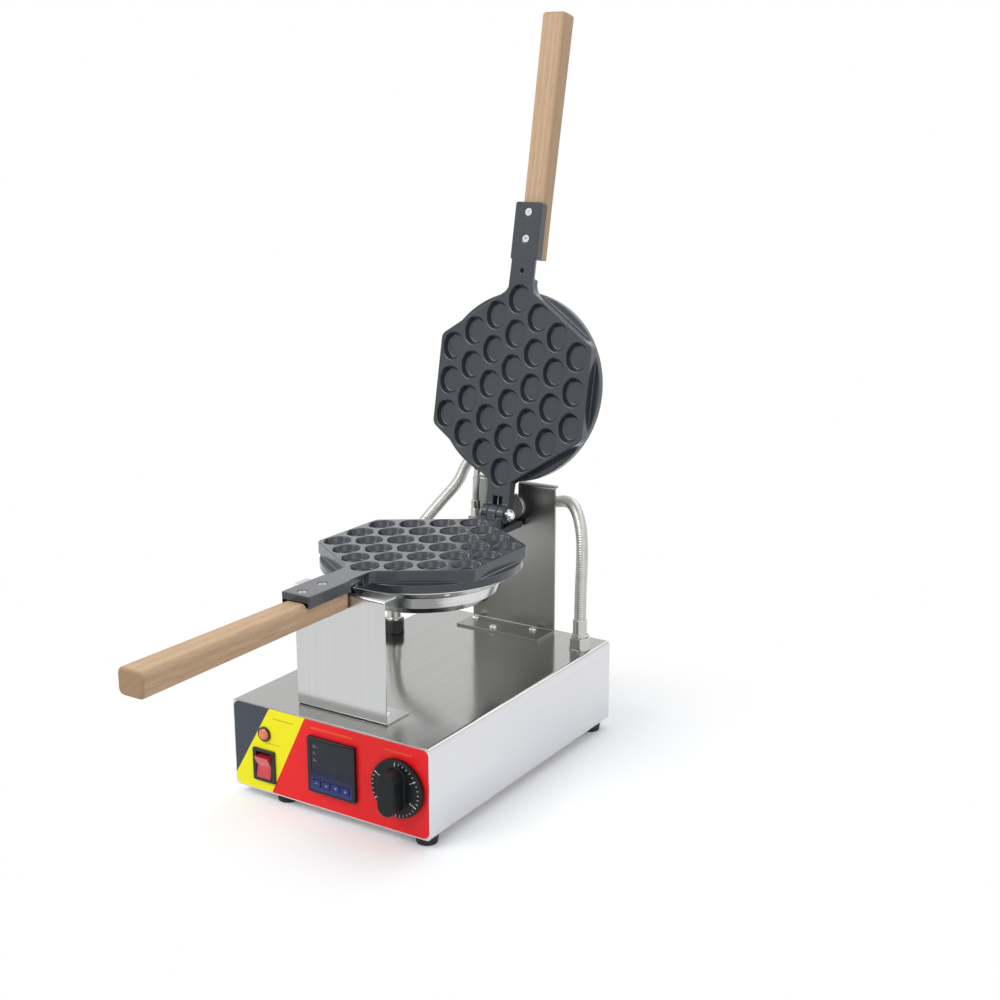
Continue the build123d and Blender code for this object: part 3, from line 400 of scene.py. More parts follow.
@dataclass(frozen=True)
class SheetSteel(Finish):
    """Brushed stainless sheet with fine streaks, faint smears and slow warmer and cooler patches."""

    grain: Grain = Grain.ALONG
    tone: Colour = (0.5, 0.5, 0.5)
    gloss: float = 0.34
    scratch: float = 0.6
    patches: Pattern = Pattern(5.0, 2.0)
    streaks: Pattern = Pattern(1.0, 4.0, 0.65)
    hairs: Pattern = Pattern(2.6, 2.0, 0.6)
    smears: Pattern = Pattern(14.0, 5.0, 0.6)

    def ground(self, shade: Shade) -> object:
        """The sheet's colour before the streaks, in slightly warmer and cooler patches.

        Args:
            shade: The material under construction.

        Returns:
            The colour\'s socket.
        """
        red, green, blue = self.tone
        cool = (red * 0.97, green * 0.98, blue * 1.03)
        return shade.blend(shade.noise(self.patches), self.tone, cool)

    def paint(self, shade: Shade) -> None:
        """Streaks along the grain and smears in the gloss.

        Args:
            shade: The material under construction.
        """
        brushed = shade.mapped(self.grain.value)
        streak = shade.noise(self.streaks, brushed)
        hair = shade.noise(self.hairs, brushed)
        smear = shade.noise(self.smears)
        dark = times(self.tone, 0.8)
        shade.set(
            Metallic=1.0,
            Base_Color=shade.blend(streak.above(0.52, 0.6) * self.scratch, self.ground(shade), dark),
            Roughness=self.gloss + (streak - 0.5) * 0.08 + smear.above(0.55, 0.3) * 0.05,
            Anisotropic=0.3,
            Normal=shade.bump(hair * 0.6 + streak * 0.4, 0.00001, 0.3),
        )


@dataclass(frozen=True)
class CaseSteel(SheetSteel):
    """The case's sheet, whose top carries a painted reflection, darker and warmer than its walls."""

    top_tone: Colour = (0.36, 0.36, 0.345)
    top_edge: float = 83.6
    top_patches: Pattern = Pattern(4.0, 3.0)

    def ground(self, shade: Shade) -> object:
        """The walls' colour below the top edge, and the darker, warmer painted reflection above it.

        Args:
            shade: The material under construction.

        Returns:
            The colour\'s socket.
        """
        _, _, z = shade.axes()
        # painted reflection: the top of the same sheet is made darker and warmer than the walls
        top = shade.blend(shade.noise(self.top_patches), self.top_tone, times(self.top_tone, 1.12))
        return shade.blend((z / MM).above(self.top_edge, 1.2), self.tone, top)


@dataclass(frozen=True)
class SpunSteel(Finish):
    """Bright steel spun on a lathe, with fine turning marks round the dish's axis."""

    turn: float = 0.0
    tone: Colour = (0.62, 0.62, 0.625)
    ring_pitch: tuple = (900.0, 700.0)
    dents: Pattern = Pattern(9.0, 2.0, 0.4)
    handling: Pattern = Pattern(50.0, 6.0, 0.6)

    def paint(self, shade: Shade) -> None:
        """Rings in the gloss and relief, soft dents and finger marks.

        Args:
            shade: The material under construction.
        """
        middle = HINGE + Matrix.Rotation(self.turn, 3, "X") @ Vector((0.0, -PLATE_REACH, 0.0))
        x, y, z = shade.axes(shade.mapped(turn=self.turn, move=middle))
        out, up = self.ring_pitch
        rings = shade.rings((x * x + y * y) ** 0.5 * out + z * up)
        dents, marks = shade.noises(self.dents, self.handling)
        worn = marks.above(0.6, 0.25) * 0.4 + rings.above(0.5, 0.3) * 0.5
        shade.set(
            Metallic=1.0,
            Base_Color=shade.blend(worn, self.tone, times(self.tone, 0.8)),
            Roughness=0.08 + rings * 0.1 + marks.above(0.55, 0.25) * 0.06,
            Normal=shade.bump(dents, 0.0005, 0.4, shade.bump(rings, 0.00003, 0.5)),
        )


@dataclass(frozen=True)
class PolishedMetal(Finish):
    """Bright plated or pressed metal with light handling marks."""

    tone: Colour = (0.72, 0.72, 0.73)
    gloss: float = 0.08
    waviness: float = 0.0001
    stains: Pattern = Pattern(45.0, 6.0, 0.6)
    waves: Pattern = Pattern(9.0, 2.0, 0.4)
    scratches: Pattern = Pattern(1.0, 2.0, 0.6)
    scratch_pitch: tuple = (700, 60, 700)

    def paint(self, shade: Shade) -> None:
        """A mirror with faint spots, fine scratches and a slow wave.

        Args:
            shade: The material under construction.
        """
        spots, wave = shade.noises(self.stains, self.waves)
        scratch = shade.noise(self.scratches, shade.mapped(self.scratch_pitch))
        shade.set(
            Metallic=1.0,
            Base_Color=shade.blend(spots.above(0.62, 0.2) * 0.5, self.tone, times(self.tone, 0.8)),
            Roughness=self.gloss + spots.above(0.55, 0.25) * 0.07 + scratch.above(0.62, 0.1) * 0.05,
            Normal=shade.bump(wave, self.waviness, 0.4),
        )


@dataclass(frozen=True)
class CastCoating(Finish):
    """Cast aluminium under a dark blue-grey non-stick coat with a sprayed grain."""

    tone: Colour = srgb(47, 53, 62)
    gloss: float = 0.24
    orange_peel: Pattern = Pattern(900.0, 2.0)
    spray: Pattern = Pattern(2600.0, 2.0, 0.6)
    clouds: Pattern = Pattern(22.0, 4.0, 0.55)
    rubs: Pattern = Pattern(60.0, 5.0, 0.7)

    def paint(self, shade: Shade) -> None:
        """Sprayed orange-peel grain, baked clouding and a few paler rubs.

        Args:
            shade: The material under construction.
        """
        peel, grain, cloud, rub = shade.noises(self.orange_peel, self.spray, self.clouds, self.rubs)
        ground = shade.blend(cloud.above(0.5, 0.5), self.tone, times(self.tone, 0.78))
        shade.set(
            Base_Color=shade.blend(rub.above(0.66, 0.14) * 0.45, ground, times(self.tone, 1.5)),
            Roughness=self.gloss + (cloud - 0.5) * 0.14 + (peel - 0.5) * 0.08,
            Specular_IOR_Level=0.45,
            Coat_Weight=0.5,
            Coat_Roughness=0.12,
            Normal=shade.bump(peel * 0.7 + grain * 0.3, 0.00004, 0.4),
        )


@dataclass(frozen=True)
class Beech(Finish):
    """Steamed beech under thin oil, with its rings, pores and short ray flecks."""

    turn: float = 0.0
    offset: float = 0.0
    end: float = -0.4528
    pith: tuple = (0.052, 0.0, -0.075)
    stretch: tuple = (1.0, 0.055, 1.0)
    pore_pitch: tuple = (1500, 45, 1500)
    fleck_pitch: tuple = (900, 110, 900)
    tone_pitch: tuple = (4, 1, 4)
    ring_pitch: float = 1150.0
    ring_wander: float = 9.0
    wander: Pattern = Pattern(11.0, 3.0, 0.55)
    pores: Pattern = Pattern(1.0, 3.0, 0.6)
    flecks: Pattern = Pattern(1.0, 2.0)
    boards: Pattern = Pattern(6.0)

    def paint(self, shade: Shade) -> None:
        """Growth rings round an axis beside the handle, flecks and a darker, thirstier end grain.

        Args:
            shade: The material under construction.
        """
        beside, along, below = self.pith
        own = {"turn": self.turn, "move": HINGE + Vector((beside, along, below + self.offset))}
        around = shade.mapped(self.stretch, **own)
        x, _, z = shade.axes(around)
        wander = shade.noise(self.wander, around)
        ring = ((x * x + z * z) ** 0.5 * self.ring_pitch + wander * self.ring_wander).wave()
        pores = shade.noise(self.pores, shade.mapped(self.pore_pitch, **own))
        flecks = shade.noise(self.flecks, shade.mapped(self.fleck_pitch, **own))
        tone = shade.noise(self.boards, shade.mapped(self.tone_pitch, **own))
        light, middle, dark = srgb(203, 173, 141), srgb(187, 153, 118), srgb(150, 114, 83)
        body = shade.blend(ring * 0.5 + tone * 0.3, light, middle)
        grained = shade.blend(pores.above(0.58, 0.2) * 0.35, body, dark)
        flecked = shade.blend(flecks.above(0.68, 0.1) * 0.35, grained, srgb(132, 96, 66))
        _, along, _ = shade.axes(shade.mapped(turn=self.turn, move=HINGE))
        shade.set(
            Base_Color=shade.blend(along.below(self.end, 0.002) * 0.55, flecked, srgb(140, 106, 78)),
            Roughness=0.5 + pores * 0.16,
            Specular_IOR_Level=0.35,
            Normal=shade.bump(pores * 0.7 + ring * 0.3, 0.00008, 0.5),
        )


@dataclass(frozen=True)
class PanelPrint(Finish):
    """Printed front film: a slanting yellow band between a charcoal corner and a red field."""

    band_left: tuple = ((-60.2, 83.3), (-99.1, 17.8))
    band_right: tuple = ((-23.4, 82.1), (-57.9, 13.6))
    grey_rules: tuple = ((-56.0, -35.0, 76.0, 1.0), (-64.0, -50.0, 53.0, 0.7))
    orange_rules: tuple = ((-16.0, 26.0, 77.6, 1.6), (58.0, 84.0, 76.4, 1.4))
    edge: float = 0.25
    weave: Pattern = Pattern(1800.0, 2.0)
    dust: Pattern = Pattern(160.0, 6.0, 0.7)

    def beyond(self, shade: Shade, line: tuple) -> Signal:
        """How far a place lies to the right of a slanting line.

        Args:
            shade: The material under construction.
            line: The line's upper and lower ends, in millimetres.

        Returns:
            The distance, in millimetres.
        """
        (x_top, z_top), (x_low, z_low) = line
        x, _, z = shade.axes()
        lean = (x_top - x_low) / (z_top - z_low)
        return ((x / MM - x_low) - (z / MM - z_low) * lean) / math.hypot(1.0, lean)

    def rules(self, shade: Shade, rules: tuple) -> Signal:
        """A mask of short level rules.

        Args:
            shade: The material under construction.
            rules: The left end, right end, height and width of each, in millimetres.

        Returns:
            The mask, 0 to 1.
        """
        x, _, z = shade.axes()
        total = None
        for left_x, right_x, height, width in rules:
            across = (x / MM).within(left_x, right_x, 0.5)
            rule = across * (z / MM).within(height - width / 2, height + width / 2, self.edge)
            total = rule if total is None else total.higher(rule)
        return total

    def paint(self, shade: Shade) -> None:
        """The three fields and a few plain rules, under a satin film.

        Args:
            shade: The material under construction.
        """
        left = self.beyond(shade, self.band_left)
        right = self.beyond(shade, self.band_right)
        charcoal, yellow, red = srgb(64, 70, 80), srgb(255, 246, 10), srgb(246, 27, 32)
        fields = shade.blend(left.above(0.0, self.edge), charcoal, yellow)
        fields = shade.blend(right.above(0.0, self.edge), fields, red)
        fields = shade.blend(self.rules(shade, self.grey_rules) * 0.55, fields, srgb(140, 130, 40))
        fields = shade.blend(self.rules(shade, self.orange_rules) * 0.8, fields, srgb(250, 96, 30))
        dust = shade.noise(self.dust)
        shade.set(
            Base_Color=shade.blend(dust.above(0.62, 0.3) * 0.03, fields, (0.5, 0.5, 0.5)),
            Roughness=0.42 + dust.above(0.6, 0.2) * 0.12,
            Specular_IOR_Level=0.3,
            Coat_Weight=0.08,
            Coat_Roughness=0.2,
            Normal=shade.bump(shade.noise(self.weave), 0.00002, 0.4),
        )


@dataclass(frozen=True)
class MouldedPlastic(Finish):
    """Injection-moulded plastic with a spark-eroded grain."""

    tone: Colour = srgb(34, 35, 38)
    gloss: float = 0.38
    relief: float = 0.00005
    shine: float = 0.4
    spark: Pattern = Pattern(1900.0, 3.0, 0.6)
    flow: Pattern = Pattern(30.0, 4.0)
    dust: Pattern = Pattern(240.0, 5.0, 0.7)

    def paint(self, shade: Shade) -> None:
        """Even colour with a fine grain, a soft flow pattern and a little dust.

        Args:
            shade: The material under construction.
        """
        grain, flow = shade.noises(self.spark, self.flow)
        pale = tuple(part * 1.25 + 0.012 for part in self.tone)
        ground = shade.blend(flow, self.tone, times(self.tone, 0.86))
        shade.set(
            Base_Color=shade.blend(shade.noise(self.dust).above(0.64, 0.16) * 0.5, ground, pale),
            Roughness=self.gloss + (grain - 0.5) * 0.12 + (flow - 0.5) * 0.08,
            Specular_IOR_Level=self.shine,
            Normal=shade.bump(grain, self.relief, 0.45),
        )


@dataclass(frozen=True)
class Rubber(Finish):
    """Matt black rubber with mould bloom."""

    bloom: Pattern = Pattern(70.0, 5.0, 0.65)
    grain: Pattern = Pattern(1300.0, 3.0, 0.6)

    def paint(self, shade: Shade) -> None:
        """Nearly black with a pale bloom and a coarse grain.

        Args:
            shade: The material under construction.
        """
        bloom, grain = shade.noises(self.bloom, self.grain)
        shade.set(
            Base_Color=shade.blend(bloom.above(0.5, 0.5), srgb(24, 24, 25), srgb(44, 44, 46)),
            Roughness=0.72 + (grain - 0.5) * 0.2,
            Normal=shade.bump(grain, 0.00008, 0.5),
        )


@dataclass(frozen=True)
class TintedLens(Finish):
    """Clear tinted plastic over a light, with rings moulded inside. On the rocker, which has no lamp in it,
    the glow and the paler middle are a painted highlight.
    """

    tone: Colour = srgb(226, 116, 76)
    glow: Colour = srgb(244, 150, 104)
    strength: float = 0.12
    centre: tuple = (0.0, 0.0, 0.0)
    ring_pitch: float = 3000.0
    rim: float = 0.004
    cloud: Pattern = Pattern(180.0)

    def paint(self, shade: Shade) -> None:
        """Deep colour at the rim, a paler middle, a glow and fine prism rings; on the rocker the paler
        middle and the glow are a painted highlight.

        Args:
            shade: The material under construction.
        """
        x, _, z = shade.axes(shade.mapped(move=self.centre))
        away = (x * x + z * z) ** 0.5
        rings = (away * self.ring_pitch).wave()
        cloud = shade.noise(self.cloud)
        deep = times(self.tone, 0.55)
        # on the rocker, the emission and the paler middle are a painted highlight
        shade.set(
            Base_Color=shade.blend(away.above(self.rim, self.rim) * 0.7 + cloud * 0.2, self.tone, deep),
            Roughness=0.12 + rings * 0.06,
            Emission_Color=shade.blend(cloud, self.glow, self.tone),
            Emission_Strength=self.strength,
            Coat_Weight=0.6,
            Coat_Roughness=0.04,
            Normal=shade.bump(rings, 0.00006, 0.4),
        )


@dataclass(frozen=True)
class DarkGlass(Finish):
    """A smoked window over an unlit display."""

    low: float = 39.9
    high: float = 67.9
    handling: Pattern = Pattern(90.0, 5.0, 0.6)

    def paint(self, shade: Shade) -> None:
        """Nearly black with a blue cast that grows downwards and a few finger marks.

        Args:
            shade: The material under construction.
        """
        _, _, z = shade.axes()
        rise = (z / MM - self.low) / (self.high - self.low)
        marks = shade.noise(self.handling)
        blue = shade.blend(rise.above(0.12, 0.4), srgb(28, 34, 74), srgb(38, 42, 50))
        shade.set(
            Base_Color=shade.blend(marks.above(0.6, 0.2) * 0.2, blue, srgb(52, 56, 66)),
            Roughness=0.16 + marks.above(0.5, 0.3) * 0.12,
            Specular_IOR_Level=0.25,
        )


@dataclass(frozen=True)
class ControllerFace(Finish):
    """Black plastic whose face carries a printed dark blue band round the keys."""

    centre: tuple = (6.0, 47.4)
    half_width: float = 21.0
    band: tuple = (-21.6, -8.4)
    spark: Pattern = Pattern(1900.0, 3.0, 0.6)

    def paint(self, shade: Shade) -> None:
        """The band, brighter towards its foot, on a fine-grained moulding.

        Args:
            shade: The material under construction.
        """
        x, _, z = shade.axes()
        across = abs(x / MM - self.centre[0]).below(self.half_width, 0.3)
        height = z / MM - self.centre[1]
        low, high = self.band
        band = across * height.within(low, high, 0.4)
        ink = shade.blend((height - low) / (high - low), srgb(36, 58, 128), srgb(26, 30, 74))
        grain = shade.noise(self.spark)
        shade.set(
            Base_Color=shade.blend(band, srgb(28, 28, 33), ink),
            Roughness=0.34 + grain * 0.1 - band * 0.08,
            Specular_IOR_Level=0.35,
            Normal=shade.bump(grain, 0.00003, 0.3),
        )


@dataclass(frozen=True)
class PrintInk(Finish):
    """A flat printed or painted mark."""

    tone: Colour = (0.8, 0.8, 0.8)
    pinholes: Pattern = Pattern(700.0, 4.0, 0.6)

    def paint(self, shade: Shade) -> None:
        """Slightly uneven ink with tiny pinholes.

        Args:
            shade: The material under construction.
        """
        wear = shade.noise(self.pinholes)
        shade.set(
            Base_Color=shade.blend(wear.above(0.58, 0.25), self.tone, times(self.tone, 0.78)),
            Roughness=0.42 + wear * 0.15,
            Normal=shade.bump(wear, 0.00002, 0.3),
        )


@dataclass(frozen=True)
class ConduitMetal(Finish):
    """Satin stainless corrugated hose, with greyer patches of dirt."""

    tone: Colour = (0.53, 0.525, 0.51)
    heated: Colour = (0.52, 0.48, 0.42)
    soiled: Colour = (0.34, 0.33, 0.31)
    dirt: Pattern = Pattern(120.0, 5.0, 0.65)
    streaks: Pattern = Pattern(600.0, 3.0, 0.6)
    warmth: Pattern = Pattern(16.0, 2.0)

    def paint(self, shade: Shade) -> None:
        """Satin metal with streaks, dirt and a little colour from the heat.

        Args:
            shade: The material under construction.
        """
        dirt, streak, warm = shade.noises(self.dirt, self.streaks, self.warmth)
        ground = shade.blend(warm.above(0.55, 0.3) * 0.4, self.tone, self.heated)
        shade.set(
            Metallic=1.0,
            Base_Color=shade.blend(dirt.above(0.6, 0.2) * 0.4, ground, self.soiled),
            Roughness=0.25 + streak * 0.1 + dirt * 0.06,
            Normal=shade.bump(streak, 0.00003, 0.4),
        )


@dataclass(frozen=True)
class GlandPair(Finish):
    """Two glands of one shape: a nickel-plated one on the right and a black one on the left."""

    metal: Colour = (0.56, 0.55, 0.52)
    handling: Pattern = Pattern(60.0, 5.0, 0.6)
    grain: Pattern = Pattern(1500.0, 3.0, 0.6)

    def paint(self, shade: Shade) -> None:
        """Plating or plastic by the side of the machine, with handling marks on both.

        Args:
            shade: The material under construction.
        """
        x, _, _ = shade.axes()
        right = x.above(0.0, 0.001)
        marks = shade.noise(self.handling)
        plated = shade.blend(marks.above(0.6, 0.2) * 0.5, self.metal, times(self.metal, 0.75))
        shade.set(
            Metallic=right,
            Base_Color=shade.blend(right, srgb(30, 30, 32), plated),
            Roughness=0.42 - right * 0.2 + marks * 0.08,
            Normal=shade.bump(shade.noise(self.grain), 0.00003, 0.35),
        )


@dataclass(frozen=True)
class FibreMat(Finish):
    """A pressed fibre mat."""

    tufts: Pattern = Pattern(420.0, 6.0, 0.7)

    def paint(self, shade: Shade) -> None:
        """Off-white fibres with loose tufts.

        Args:
            shade: The material under construction.
        """
        tuft = shade.noise(self.tufts)
        shade.set(
            Base_Color=shade.blend(tuft, srgb(222, 214, 196), srgb(182, 172, 150)),
            Roughness=0.88,
            Normal=shade.bump(tuft, 0.0004, 0.6),
        )


# the case's top carries a painted dark reflection above the walls' tone
CASE_STEEL = CaseSteel("case_steel", "stainless", tone=(0.735, 0.735, 0.76), gloss=0.13, scratch=0.32)
STEEL_FRONT = SheetSteel(
    "steel_front_rest", "stainless", Grain.UPRIGHT, tone=(0.64, 0.645, 0.63), gloss=0.2, scratch=0.3
)
STEEL_BACK = SheetSteel(
    "steel_back_post", "stainless", Grain.UPRIGHT, tone=(0.33, 0.335, 0.31), gloss=0.29, scratch=0.35
)
STEEL_PLAIN = SheetSteel("steel_plate", "stainless", Grain.ACROSS)
LOWER_DISH = SpunSteel("spun_lower_dish", "polished", tone=(0.74, 0.745, 0.755))
UPPER_DISH = SpunSteel("spun_upper_dish", "polished", turn=-OPEN_ANGLE)
FASTENER = PolishedMetal("bright_fastener", "polished", (0.82, 0.82, 0.82), gloss=0.14)
ZINC_SCREW = PolishedMetal("zinc_screw", "polished", (0.88, 0.88, 0.86), gloss=0.32)
HANDLE_SCREW = PolishedMetal("handle_screw", "polished", (0.56, 0.565, 0.57), gloss=0.3)
FITTING_METAL = PolishedMetal("nickel_fitting", "polished", (0.56, 0.55, 0.52), gloss=0.2, waviness=0.0002)
SHEATH = PolishedMetal("oxidised_sheath", "heater_sheath", (0.34, 0.32, 0.30), gloss=0.42)
BRASS = PolishedMetal("thermocouple_brass", "brass", (0.70, 0.52, 0.26), gloss=0.3)
GLANDS = GlandPair("gland_pair", "polished")
COATING = CastCoating("non_stick_coat", "coated_cast")
DARK_CAST = CastCoating("dark_cast", "coated_cast", srgb(48, 51, 57), gloss=0.45)
BEECH_LOWER = Beech("beech_lower", "wood")
BEECH_UPPER = Beech("beech_upper", "wood", turn=-OPEN_ANGLE, offset=0.006)
PANEL = PanelPrint("panel_film", "panel_print")
BLACK_PLASTIC = MouldedPlastic("moulded_black", "black_plastic")
FACE_PLASTIC = ControllerFace("controller_face", "black_plastic")
KNOB_PLASTIC = MouldedPlastic("moulded_knob", "black_plastic", srgb(25, 29, 31), gloss=0.34, shine=0.22)
KEY_PLASTIC = MouldedPlastic("moulded_key", "key_plastic", srgb(34, 50, 112), 0.3, 0.00004, shine=0.35)
BAKELITE = MouldedPlastic("pressed_bakelite", "bakelite", srgb(92, 58, 38), gloss=0.3, relief=0.00004)
# painted highlight: the rocker glows and is paler in its middle, though no lamp is in it
RED_ROCKER = TintedLens(
    "rocker_painted_glow", "red_plastic", srgb(228, 28, 52), srgb(255, 90, 116), 0.13, tuple(at(-66.5, 0.0, 32.6))
)
LAMP_LENS = TintedLens("lamp_lens", "red_plastic", centre=tuple(at(-65.3, 0.0, 60.7)))
SCREEN = DarkGlass("display_window", "screen_glass")
RUBBER = Rubber("foot_rubber", "black_rubber")
HOSE_METAL = ConduitMetal("conduit_metal", "conduit")
MAT = FibreMat("fibre_mat", "insulation")
WHITE_INK = PrintInk("white_ink", "panel_print", srgb(222, 230, 230))
KEY_INK = PrintInk("key_ink", "panel_print", srgb(136, 136, 214))
GREY_INK = PrintInk("grey_ink", "panel_print", srgb(112, 118, 130))


# ---------------- making pieces

BODY_OF = {
    node: body
    for body, members in frame["record"]["behaviour"]["bodies"].items()
    for node in members
}


def placed(name: str, data: bpy.types.ID) -> bpy.types.Object:
    """Makes an object and puts it in the scene.

    Args:
        name: The object's name.
        data: Its mesh, camera or lamp.

    Returns:
        The object.
    """
    made = bpy.data.objects.new(name, data)
    bpy.context.scene.collection.objects.link(made)
    return made


def show(name: str, mesh: bpy.types.Mesh, finish: Finish) -> bpy.types.Object:
    """Puts a finished mesh in the scene as a piece.

    Args:
        name: The piece's name.
        mesh: Its mesh, in place.
        finish: What its surface is.

    Returns:
        The piece.
    """
    mesh.materials.clear()
    mesh.materials.append(finish.material())
    piece = placed(name, mesh)
    return piece


def to_mesh(name: str, shape: bmesh.types.BMesh, sharp: float = SHARP_TURN) -> bpy.types.Mesh:
    """Turns an edited shape into a mesh that is smooth on its round faces.

    Args:
        name: The mesh's name.
        shape: The shape, which is freed.
        sharp: The turn above which an edge stays sharp, in degrees.

    Returns:
        The mesh.
    """
    mesh = bpy.data.meshes.new(name)
    shape.to_mesh(mesh)
    shape.free()
    mesh.polygons.foreach_set("use_smooth", [True] * len(mesh.polygons))
    mesh.set_sharp_from_angle(angle=math.radians(sharp))
    return mesh


def node_shape(node: str) -> bmesh.types.BMesh:
    """A CAD node's shape with its loose triangles merged into whole faces.

    Args:
        node: The CAD node.

    Returns:
        The shape.
    """
    shape = bmesh.new()
    shape.from_mesh(frame["nodes"][node].data)
    bmesh.ops.remove_doubles(shape, verts=shape.verts, dist=WELD)
    turn = math.radians(FLAT_TURN)
    bmesh.ops.dissolve_limit(shape, angle_limit=turn, verts=shape.verts, edges=shape.edges)
    return shape


def carved(mesh: bpy.types.Mesh, cutter: bmesh.types.BMesh) -> bpy.types.Mesh:
    """Cuts a shape out of a mesh.

    Args:
        mesh: The mesh, which is left as it is.
        cutter: The closed shape that is taken away, which is freed.

    Returns:
        A new mesh.
    """
    tool_mesh = bpy.data.meshes.new("cutter")
    cutter.to_mesh(tool_mesh)
    cutter.free()
    tool = placed("cutter", tool_mesh)
    blank = placed("blank", mesh)
    cut = blank.modifiers.new("cut", "BOOLEAN")
    cut.operation = "DIFFERENCE"
    cut.solver = "EXACT"
    cut.object = tool
    graph = bpy.context.evaluated_depsgraph_get()
    result = bpy.data.meshes.new_from_object(blank.evaluated_get(graph), depsgraph=graph)
    bpy.data.objects.remove(blank)
    bpy.data.objects.remove(tool)
    bpy.data.meshes.remove(tool_mesh)
    if not result.vertices:
        raise ValueError(f"nothing is left of {mesh.name} after the cut")
    return result


def raised(shape: bmesh.types.BMesh, corners: Sequence[Vector], way: Vector) -> None:
    """Adds a prism to a shape.

    Args:
        shape: The shape that takes it.
        corners: The corners of its base, in order.
        way: How far and which way the base is extruded, in metres.
    """
    face = shape.faces.new([shape.verts.new(corner) for corner in corners])
    grown = bmesh.ops.extrude_face_region(shape, geom=[face])["geom"]
    tops = [item for item in grown if isinstance(item, bmesh.types.BMVert)]
    bmesh.ops.translate(shape, verts=tops, vec=way)


@dataclass(frozen=True)
class CrossRecess:
    """The cross recess of screws that face up: its sizes in millimetres, and a turn in degrees."""

    width: float
    arm: float
    depth: float
    turn: float

    def cutters(self, places: Sequence[Vector]) -> bmesh.types.BMesh:
        """What is cut out of a set of heads, each cross turned on from the last.

        Args:
            places: The middle of each head's top.

        Returns:
            The cutters as one shape.
        """
        shape = bmesh.new()
        long, half, depth = self.width / 2 * MM, self.arm / 2 * MM, self.depth * MM
        quarter = ((half, half), (half, long), (-half, long))
        for index, place in enumerate(places):
            floor = Matrix.Translation(place - Vector((0.0, 0.0, depth)))
            spin = Matrix.Rotation(math.radians(self.turn * (index + 1)), 4, "Z")
            corners = []
            for arm in range(4):
                way = floor @ spin @ Matrix.Rotation(arm * math.pi / 2, 4, "Z")
                corners += [way @ Vector((x, y, 0.0)) for x, y in quarter]
            raised(shape, corners, Vector((0.0, 0.0, 2 * depth)))
        bmesh.ops.recalc_face_normals(shape, faces=shape.faces)
        return shape


def prisms(outlines: Sequence[Sequence[tuple]], front_y: float, thickness: float) -> bmesh.types.BMesh:
    """Thin plates that face the front.

    Args:
        outlines: For each plate, the x and z of its corners, in millimetres.
        front_y: The plates' front, in millimetres behind the housing's front.
        thickness: Their thickness, in millimetres.

    Returns:
        The plates as one shape.
    """
    shape = bmesh.new()
    for outline in outlines:
        raised(shape, [at(x, front_y, z) for x, z in outline], Vector((0.0, thickness * MM, 0.0)))
    bmesh.ops.recalc_face_normals(shape, faces=shape.faces)
    return shape


def lathed(profile: Sequence[tuple], centre: Vector, axis: Vector, steps: int) -> bmesh.types.BMesh:
    """A ring turned on a lathe.

    Args:
        profile: The closed section as pairs of radius and height along the axis, in millimetres.
        centre: A point on the axis, where the height is zero.
        axis: The axis.
        steps: Faces round it.

    Returns:
        The ring's shape.
    """
    shape = bmesh.new()
    points = [shape.verts.new((radius * MM, 0.0, height * MM)) for radius, height in profile]
    edges = [shape.edges.new(pair) for pair in zip(points, points[1:] + points[:1])]
    bmesh.ops.spin(shape, geom=points + edges, axis=(0, 0, 1), angle=math.tau, steps=steps, use_merge=True)
    place = Matrix.Translation(centre) @ axis.to_track_quat("Z", "Y").to_matrix().to_4x4()
    bmesh.ops.transform(shape, matrix=place, verts=shape.verts)
    bmesh.ops.recalc_face_normals(shape, faces=shape.faces)
    return shape


def numeral(text: str, height: float, thickness: float, centre: Vector, turn: float) -> bpy.types.Mesh:
    """A raised numeral that faces the front.

    Args:
        text: The figure.
        height: Size of its type, in millimetres.
        thickness: How thick its ink is, in millimetres.
        centre: Where its middle lies.
        turn: How far it leans to the right, in degrees.

    Returns:
        Its mesh, in place.
    """
    curve = bpy.data.curves.new(f"figure_{text}", "FONT")
    curve.body = text
    curve.size = height * MM
    curve.align_x = "CENTER"
    curve.align_y = "CENTER"
    curve.extrude = thickness / 2 * MM
    curve.resolution_u = 4
    carrier = bpy.data.objects.new(f"figure_{text}", curve)
    mesh = bpy.data.meshes.new_from_object(carrier)
    bpy.data.objects.remove(carrier)
    bpy.data.curves.remove(curve)
    upright = Matrix.Rotation(math.radians(90.0), 4, "X")
    lean = Matrix.Rotation(math.radians(turn), 4, "Y")
    mesh.transform(Matrix.Translation(centre) @ lean @ upright)
    return mesh


